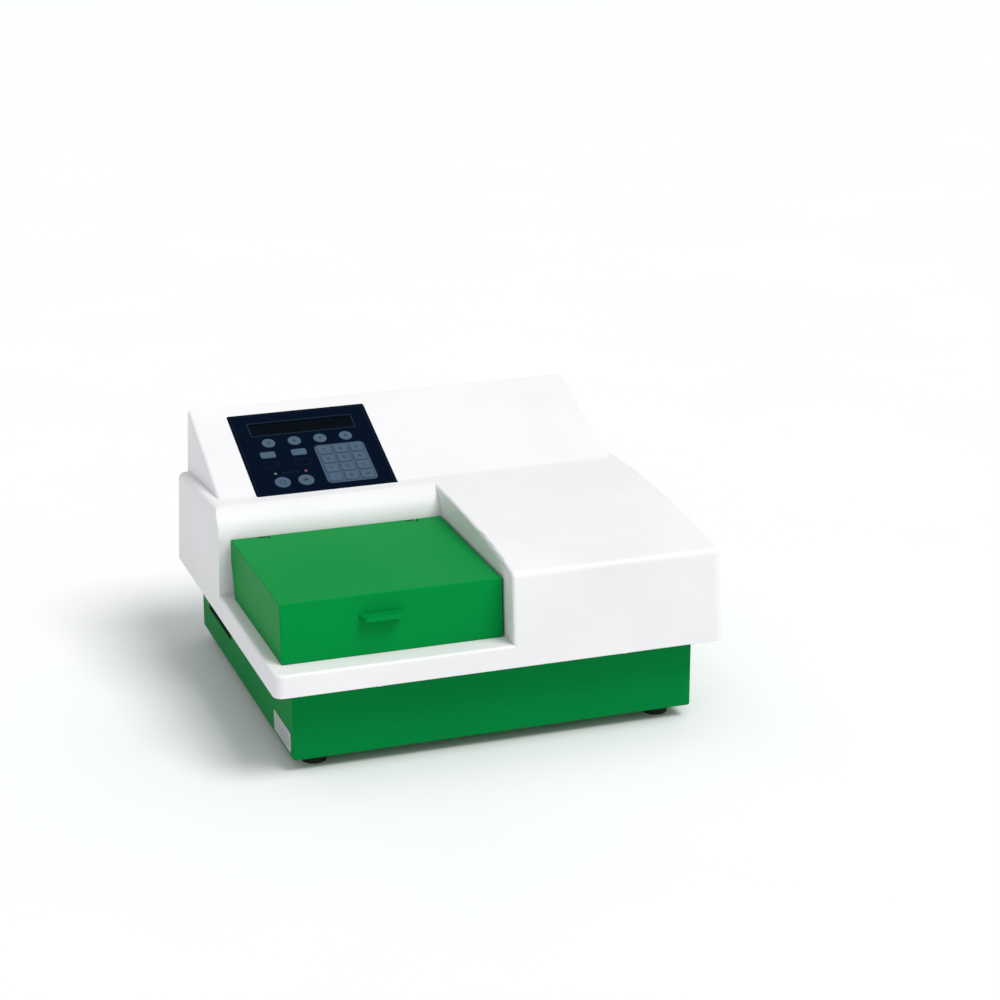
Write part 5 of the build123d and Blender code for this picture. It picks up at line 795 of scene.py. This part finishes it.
def face_place(node, towards):
    """The plane of a node's broadest face that looks one way, with the face's corners on it.
    The place's Z looks out of the face, and its X runs level."""
    mesh = NODES[node].data
    facing = [face for face in mesh.polygons if face.normal.dot(towards) > 0.6]
    out = max(facing, key=lambda face: face.area).normal.normalized()
    along = UP.cross(out) if abs(out.z) < 0.5 else RIGHT
    along = along.normalized()
    upwards = out.cross(along)
    heights = [corner.co.dot(out) for corner in mesh.vertices]
    level = max(heights)
    skin = [c.co for c, h in zip(mesh.vertices, heights) if h > level - 0.05 * MM]
    us = [point.dot(along) for point in skin]
    ws = [point.dot(upwards) for point in skin]
    axes = Matrix((along, upwards, out)).transposed().to_4x4()
    place = Matrix.Translation(out * level) @ axes
    return place, (min(us), min(ws)), (max(us), max(ws))


def moved(place, u, w, turn=0.0):
    """A place slid over its own plane, and turned on it."""
    return place @ Matrix.Translation((u, w, 0)) @ Matrix.Rotation(turn, 4, "Z")


def middle_of(low, high):
    return (low[0] + high[0]) / 2, (low[1] + high[1]) / 2


# ---------------------------------------------------------------- printed film of the control panel
PANEL_PLACE, PANEL_LOW, PANEL_HIGH = face_place("control_panel", UP)


def panel_box(node):
    """Where a node lies on the panel's plane, as its lowest and highest corners."""
    inward = PANEL_PLACE.inverted()
    points = [inward @ corner.co for corner in NODES[node].data.vertices]
    proud = [point for point in points if point.z > -1.0 * MM]
    us = [point.x for point in proud]
    ws = [point.y for point in proud]
    return (min(us), min(ws)), (max(us), max(ws))


def print_panel():
    """Border, display line, keypad field, faint key outlines and tick marks, printed on the film."""
    border_low, border_high = grown(PANEL_LOW, PANEL_HIGH, -BORDER_INSET)
    border_ring = outline_ring(border_low, border_high, BORDER_CORNER, BORDER_LINE)
    border = flat_mesh(border_ring, INK_SHEET, PANEL_PLACE)
    finish_piece("panel_border", border, BORDER_INK, "case")

    window_low, window_high = panel_box("display_window")
    line_low, line_high = grown(window_low, window_high, DISPLAY_MARGIN + DISPLAY_LINE)
    display_ring = outline_ring(line_low, line_high, DISPLAY_CORNER, DISPLAY_LINE)
    display = flat_mesh(display_ring, INK_SHEET, PANEL_PLACE)
    finish_piece("display_line", display, LINE_INK, "case")

    digit_boxes = [panel_box(node) for node in sorted(NODES) if node.startswith("digit_key")]
    field_low = tuple(min(low[axis] for low, _ in digit_boxes) for axis in (0, 1))
    field_high = tuple(max(high[axis] for _, high in digit_boxes) for axis in (0, 1))
    outer_low, outer_high = grown(field_low, field_high, FIELD_MARGIN)
    holes = [rounded_outline(*grown(low, high, KEY_HOLE_GAP), KEY_HOLE_CORNER) for low, high in digit_boxes]
    field = flat_mesh([rounded_outline(outer_low, outer_high, FIELD_CORNER)] + holes, INK_SHEET, PANEL_PLACE)
    finish_piece("keypad_field", field, FIELD_INK, "case")

    ghosts = []
    for side in ("left", "right"):
        low, high = panel_box(f"bar_key_{side}")
        low = (low[0], low[1] - GHOST_DROP)
        high = (high[0], high[1] - GHOST_DROP)
        ghosts.append(flat_mesh(outline_ring(low, high, GHOST_CORNER, GHOST_LINE), INK_SHEET, PANEL_PLACE))
    finish_piece("faint_key_outlines", joined(ghosts), GHOST_INK, "case")

    ticks = []
    first = PANEL_LOW[0] + (LAMP_U[0] + LAMP_U[1]) / 2 - TICK_PITCH * (TICK_COUNT - 1) / 2
    for step in range(TICK_COUNT):
        middle = first + step * TICK_PITCH
        reach = LONG_TICK if step % LONG_TICK_EVERY == 0 else SHORT_TICK
        foot = PANEL_LOW[1] + LAMP_W
        low = (middle - TICK_WIDTH / 2, foot - reach)
        high = (middle + TICK_WIDTH / 2, foot + reach)
        ticks.append(flat_mesh([rounded_outline(low, high, TICK_CORNER, 2)], INK_SHEET, PANEL_PLACE))
    finish_piece("lamp_scale", joined(ticks), LINE_INK, "case")


def signal_lamps():
    """The domed lenses of the two signal lamps."""
    turns = [step / LAMP_STEPS * math.pi / 2 for step in range(LAMP_STEPS)]
    lens = [(LAMP_RADIUS * math.cos(turn), LAMP_DOME * math.sin(turn)) for turn in turns]
    for side, u, material in zip(("left", "right"), LAMP_U, (GREEN_LENS, RED_LENS)):
        place = moved(PANEL_PLACE, PANEL_LOW[0] + u, PANEL_LOW[1] + LAMP_W)
        mesh = turned_mesh(lens, place)
        finish_piece(f"signal_lens_{side}", mesh, material, "case")


def arrow_outline(size):
    """A solid triangle that points along X."""
    return [[(size, 0), (-size * 0.6, size * 0.85), (-size * 0.6, -size * 0.85)]]


def enter_outline(size):
    """A bent arrow, as on an enter key."""
    head = size * 0.55
    stem = size * 0.14
    return [
        [
            (-size, -size * 0.25),
            (-size + head, -size * 0.25 + head),
            (-size + head, -size * 0.25 + stem),
            (size - 2 * stem, -size * 0.25 + stem),
            (size - 2 * stem, size * 0.8),
            (size, size * 0.8),
            (size, -size * 0.25 - stem),
            (-size + head, -size * 0.25 - stem),
            (-size + head, -size * 0.25 - head),
        ]
    ]


def print_key(node, draw):
    """A printed mark on a key's own face, riding on that key."""
    place, low, high = face_place(node, UP)
    mesh = draw(moved(place, *middle_of(low, high)))
    finish_piece(f"mark_{node}", mesh, LEGEND_INK, node)


def print_keys():
    """Digits, a point, an enter arrow, four arrows, and the two main keys' plain signs."""
    for node in sorted(NODES):
        if node.startswith("digit_key_"):
            sign = node.rsplit("_", 1)[1]
            if sign == "enter":
                print_key(node, lambda place: flat_mesh(enter_outline(SYMBOL_SIZE), INK_SHEET, place))
            else:
                words = "." if sign == "point" else sign
                print_key(node, lambda place, words=words: text_mesh(words, DIGIT_SIZE, INK_SHEET, place))
    for number, turn in enumerate((math.pi, math.pi / 2, -math.pi / 2, 0), start=1):
        print_key(
            f"function_key_{number}",
            lambda place, turn=turn: flat_mesh(
                arrow_outline(SYMBOL_SIZE * 0.8), INK_SHEET, moved(place, 0, 0, turn)
            ),
        )
    ring = [circle_outline((0, 0), SYMBOL_SIZE * 1.25), circle_outline((0, 0), SYMBOL_SIZE)]
    print_key("main_key_left", lambda place: flat_mesh(ring, INK_SHEET, place))
    print_key("main_key_right", lambda place: flat_mesh(arrow_outline(SYMBOL_SIZE * 1.1), INK_SHEET, place))


# ---------------------------------------------------------------- fasteners
def screw_tree():
    """Pan-head screws on points: each head stands on its point and looks along the point's facing."""
    tree = bpy.data.node_groups.new("screws_on_points", "GeometryNodeTree")
    tree.interface.new_socket("Geometry", in_out="INPUT", socket_type="NodeSocketGeometry")
    tree.interface.new_socket("Head Radius", in_out="INPUT", socket_type=FLOAT)
    tree.interface.new_socket("Head Height", in_out="INPUT", socket_type=FLOAT)
    tree.interface.new_socket("Slot Width", in_out="INPUT", socket_type=FLOAT)
    tree.interface.new_socket("Material", in_out="INPUT", socket_type="NodeSocketMaterial")
    tree.interface.new_socket("Geometry", in_out="OUTPUT", socket_type="NodeSocketGeometry")
    given = tree.nodes.new("NodeGroupInput").outputs
    top = add_node(tree, "ShaderNodeMath", {0: given["Head Radius"], 1: 0.72}, operation="MULTIPLY")
    head = add_node(
        tree,
        "GeometryNodeMeshCone",
        {
            "Vertices": 28,
            "Radius Top": top.outputs[0],
            "Radius Bottom": given["Head Radius"],
            "Depth": given["Head Height"],
        },
    )
    reach = add_node(tree, "ShaderNodeMath", {0: given["Head Radius"], 1: 1.0}, operation="MULTIPLY")
    long_side = add_node(
        tree,
        "ShaderNodeCombineXYZ",
        {"X": reach.outputs[0], "Y": given["Slot Width"], "Z": given["Head Height"]},
    )
    cross_side = add_node(
        tree,
        "ShaderNodeCombineXYZ",
        {"X": given["Slot Width"], "Y": reach.outputs[0], "Z": given["Head Height"]},
    )
    lift = add_node(tree, "ShaderNodeMath", {0: given["Head Height"], 1: 0.9}, operation="MULTIPLY")
    raised = add_node(tree, "ShaderNodeCombineXYZ", {"Z": lift.outputs[0]})
    cutters = []
    for side in (long_side, cross_side):
        bar = add_node(tree, "GeometryNodeMeshCube", {"Size": side.outputs[0]})
        cutter = add_node(
            tree, "GeometryNodeTransform", {"Geometry": bar.outputs["Mesh"], "Translation": raised.outputs[0]}
        )
        cutters.append(cutter.outputs[0])
    cut = add_node(tree, "GeometryNodeMeshBoolean", {"Mesh 1": head.outputs["Mesh"]}, operation="DIFFERENCE")
    for cutter in cutters:
        tree.links.new(cutter, cut.inputs["Mesh 2"])
    facing = add_node(tree, "GeometryNodeInputNamedAttribute", {"Name": "facing"}, data_type="FLOAT_VECTOR")
    turn = add_node(
        tree, "FunctionNodeAlignRotationToVector", {"Vector": facing.outputs["Attribute"]}, axis="Z"
    )
    screws = add_node(
        tree,
        "GeometryNodeInstanceOnPoints",
        {"Points": given["Geometry"], "Instance": cut.outputs["Mesh"], "Rotation": turn.outputs[0]},
    )
    real = add_node(tree, "GeometryNodeRealizeInstances", {"Geometry": screws.outputs[0]})
    painted = add_node(
        tree, "GeometryNodeSetMaterial", {"Geometry": real.outputs[0], "Material": given["Material"]}
    )
    end = tree.nodes.new("NodeGroupOutput")
    tree.links.new(painted.outputs[0], end.inputs["Geometry"])
    return tree


SCREWS = screw_tree()


def socket_id(tree, label):
    """The identifier of a tree's named input."""
    for item in tree.interface.items_tree:
        if item.name == label and item.in_out == "INPUT":
            return item.identifier
    raise KeyError(label)


def screws(name, places, facing, radius, height, material, slot, body="case"):
    """Screw heads that stand on points of a face."""
    points = bpy.data.meshes.new("points")
    points.from_pydata([tuple(place) for place in places], [], [])
    arrows = points.attributes.new("facing", "FLOAT_VECTOR", "POINT")
    for item in arrows.data:
        item.vector = facing
    maker = bpy.data.objects.new("screws", points)
    fitted = maker.modifiers.new("screws", "NODES")
    fitted.node_group = SCREWS
    fitted[socket_id(SCREWS, "Head Radius")] = radius
    fitted[socket_id(SCREWS, "Head Height")] = height
    fitted[socket_id(SCREWS, "Slot Width")] = radius * 0.26
    fitted[socket_id(SCREWS, "Material")] = material
    return finish_piece(name, plain_mesh(maker), material, body, smooth=math.radians(25))


def label_plate():
    """A bare silver plate with a raised rim, riveted low on the case's left side."""
    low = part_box("base_tray")[0]
    place = face_place("base_tray", LEFT)[0]
    back_edge = -(low.y + LABEL_SETBACK + LABEL_LENGTH)
    corner_low = (back_edge, low.z + LABEL_RISE)
    corner_high = (back_edge + LABEL_LENGTH, low.z + LABEL_RISE + LABEL_HEIGHT)
    sheet = flat_mesh([rounded_outline(corner_low, corner_high, LABEL_CORNER)], LABEL_SHEET, place)
    rim = flat_mesh(
        outline_ring(corner_low, corner_high, LABEL_CORNER, LABEL_RIM),
        LABEL_RIM_RISE,
        place @ Matrix.Translation((0, 0, LABEL_SHEET)),
    )
    finish_piece("label_plate", joined([sheet, rim]), LABEL_METAL, "case")
    rivets = [
        place @ Vector((u, w, LABEL_SHEET))
        for u in (corner_low[0] + RIVET_INSET, corner_high[0] - RIVET_INSET)
        for w in (corner_low[1] + RIVET_INSET, corner_high[1] - RIVET_INSET)
    ]
    screws("label_screws", rivets, LEFT, RIVET_RADIUS, RIVET_HEIGHT, FINISHES["steel_bright"], "steel_bright")


def rear_fittings():
    """Screws round the fan, and in the mains inlet's flange."""
    fan_low, fan_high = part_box("cooling_fan")
    base_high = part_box("base_tray")[1]
    fan = [
        (x, base_high.y, z)
        for x in (fan_low.x + FAN_SCREW_INSET, fan_high.x - FAN_SCREW_INSET)
        for z in (fan_low.z + FAN_SCREW_INSET, fan_high.z - FAN_SCREW_INSET)
    ]
    screws("fan_screws", fan, BACK, FAN_SCREW_RADIUS, FAN_SCREW_HEIGHT, FINISHES["steel_zinc"], "steel_zinc")
    entry_low, entry_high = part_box("power_entry")
    entry = [
        (entry_low.x, y, (entry_low.z + entry_high.z) / 2)
        for y in (entry_low.y + INLET_SCREW_INSET, entry_high.y - INLET_SCREW_INSET)
    ]
    zinc = FINISHES["steel_zinc"]
    screws("inlet_screws", entry, LEFT, INLET_SCREW_RADIUS, INLET_SCREW_HEIGHT, zinc, "steel_zinc")


def data_port():
    """The data port's steel shell, its dark insulator, its contacts and its threaded posts."""
    seat = next(mount for mount in frame["record"]["mounts"] if mount["name"] == "data_port")
    face = Matrix.Translation(seat["pos_m"]) @ Matrix((-BACK, UP, LEFT)).transposed().to_4x4()
    bay_wall = face @ Matrix.Translation((0, 0, -PORT_REACH))
    low, high = (-PORT_WIDTH / 2, -PORT_HEIGHT / 2), (PORT_WIDTH / 2, PORT_HEIGHT / 2)
    outer_low, outer_high = grown(low, high, PORT_SLEEVE)
    sleeve = flat_mesh(
        outline_ring(outer_low, outer_high, PORT_CORNER, 2 * PORT_SLEEVE), PORT_REACH + PORT_SLEEVE, bay_wall
    )
    finish_piece("port_shell", sleeve, FINISHES["steel_zinc"], "case")
    inner_low, inner_high = grown(low, high, -PORT_SLEEVE)
    insulator = flat_mesh([rounded_outline(inner_low, inner_high, PORT_CORNER / 2)], PORT_SLEEVE / 3, face)
    finish_piece("port_insulator", insulator, FINISHES["black_plastic"], "case")
    contacts = [
        face @ Vector(((column - (count - 1) / 2) * CONTACT_PITCH, row, 0))
        for row, count in CONTACT_ROWS
        for column in range(count)
    ]
    bright = FINISHES["steel_bright"]
    screws("port_contacts", contacts, LEFT, CONTACT_RADIUS, PORT_SLEEVE, bright, "steel_bright")
    posts = [bay_wall @ Vector((side * POST_SPACING / 2, 0, 0)) for side in (-1, 1)]
    screws("port_posts", posts, LEFT, POST_RADIUS, POST_HEIGHT, FINISHES["steel_zinc"], "steel_zinc")


def rocker_marks():
    """The plain line and ring of a mains switch, on the rocker itself."""
    place, low, high = face_place("power_rocker", LEFT)
    middle = middle_of(low, high)
    span = high[1] - low[1]
    half = (ROCKER_LINE_WIDTH / 2, ROCKER_LINE_LENGTH / 2)
    bar = [rounded_outline((-half[0], -half[1]), half, ROCKER_LINE_CORNER, 2)]
    ring = [circle_outline((0, 0), radius) for radius in ROCKER_RING_RADII]
    line = flat_mesh(bar, INK_SHEET, moved(place, middle[0], middle[1] + span / 4))
    circle = flat_mesh(ring, INK_SHEET, moved(place, middle[0], middle[1] - span / 4))
    finish_piece("rocker_marks", joined([line, circle]), MARK_WHITE, "power_rocker")


# ---------------------------------------------------------------- studio
def soft_daylight():
    """One broad distant lamp, high at the front and right, that lights the whole floor evenly."""
    lamp = bpy.data.lights.new("daylight", "SUN")
    lamp.energy = DAYLIGHT_STRENGTH
    lamp.angle = math.radians(DAYLIGHT_SPREAD)
    holder = bpy.data.objects.new("daylight", lamp)
    holder.rotation_euler = Vector(DAYLIGHT_PLACE).to_track_quat("Z", "Y").to_euler()
    bpy.context.scene.collection.objects.link(holder)


def floor_paper():
    """Matt pale paper."""
    material, tree, shader = new_material("floor_paper", Roughness=0.75)
    paper = place_group(tree, MOTTLE, {"Color": FLOOR_TONE, "Amount": 0.01, "Scale": 3.0})
    tree.links.new(paper["Color"], shader.inputs["Base Color"])
    return material


def build_studio():
    """A plain pale floor, an even pale room and one soft lamp."""
    floor_mesh = bpy.data.meshes.new("floor")
    half = FLOOR_SIZE / 2
    floor_mesh.from_pydata(
        [(-half, -half, 0), (half, -half, 0), (half, half, 0), (-half, half, 0)], [], [(0, 1, 2, 3)]
    )
    floor_mesh.materials.append(floor_paper())
    floor = bpy.data.objects.new("floor", floor_mesh)
    bpy.context.scene.collection.objects.link(floor)

    world = bpy.data.worlds.new("room")
    world.use_nodes = True
    sky = world.node_tree.nodes["Background"]
    sky.inputs["Color"].default_value = ROOM_TONE
    sky.inputs["Strength"].default_value = ROOM_STRENGTH
    bpy.context.scene.world = world

    soft_daylight()


def build_camera():
    """The camera, at the viewing angle of the finished picture."""
    lens = bpy.data.cameras.new("camera")
    lens.lens = CAMERA_LENS
    camera = bpy.data.objects.new("camera", lens)
    camera.location = CAMERA_PLACE
    camera.rotation_euler = (math.radians(CAMERA_PITCH), 0, math.radians(CAMERA_TURN))
    bpy.context.scene.collection.objects.link(camera)
    bpy.context.scene.camera = camera


print_panel()
signal_lamps()
print_keys()
label_plate()
rear_fittings()
data_port()
rocker_marks()
build_studio()
build_camera()
bpy.context.scene.view_settings.view_transform = "Standard"
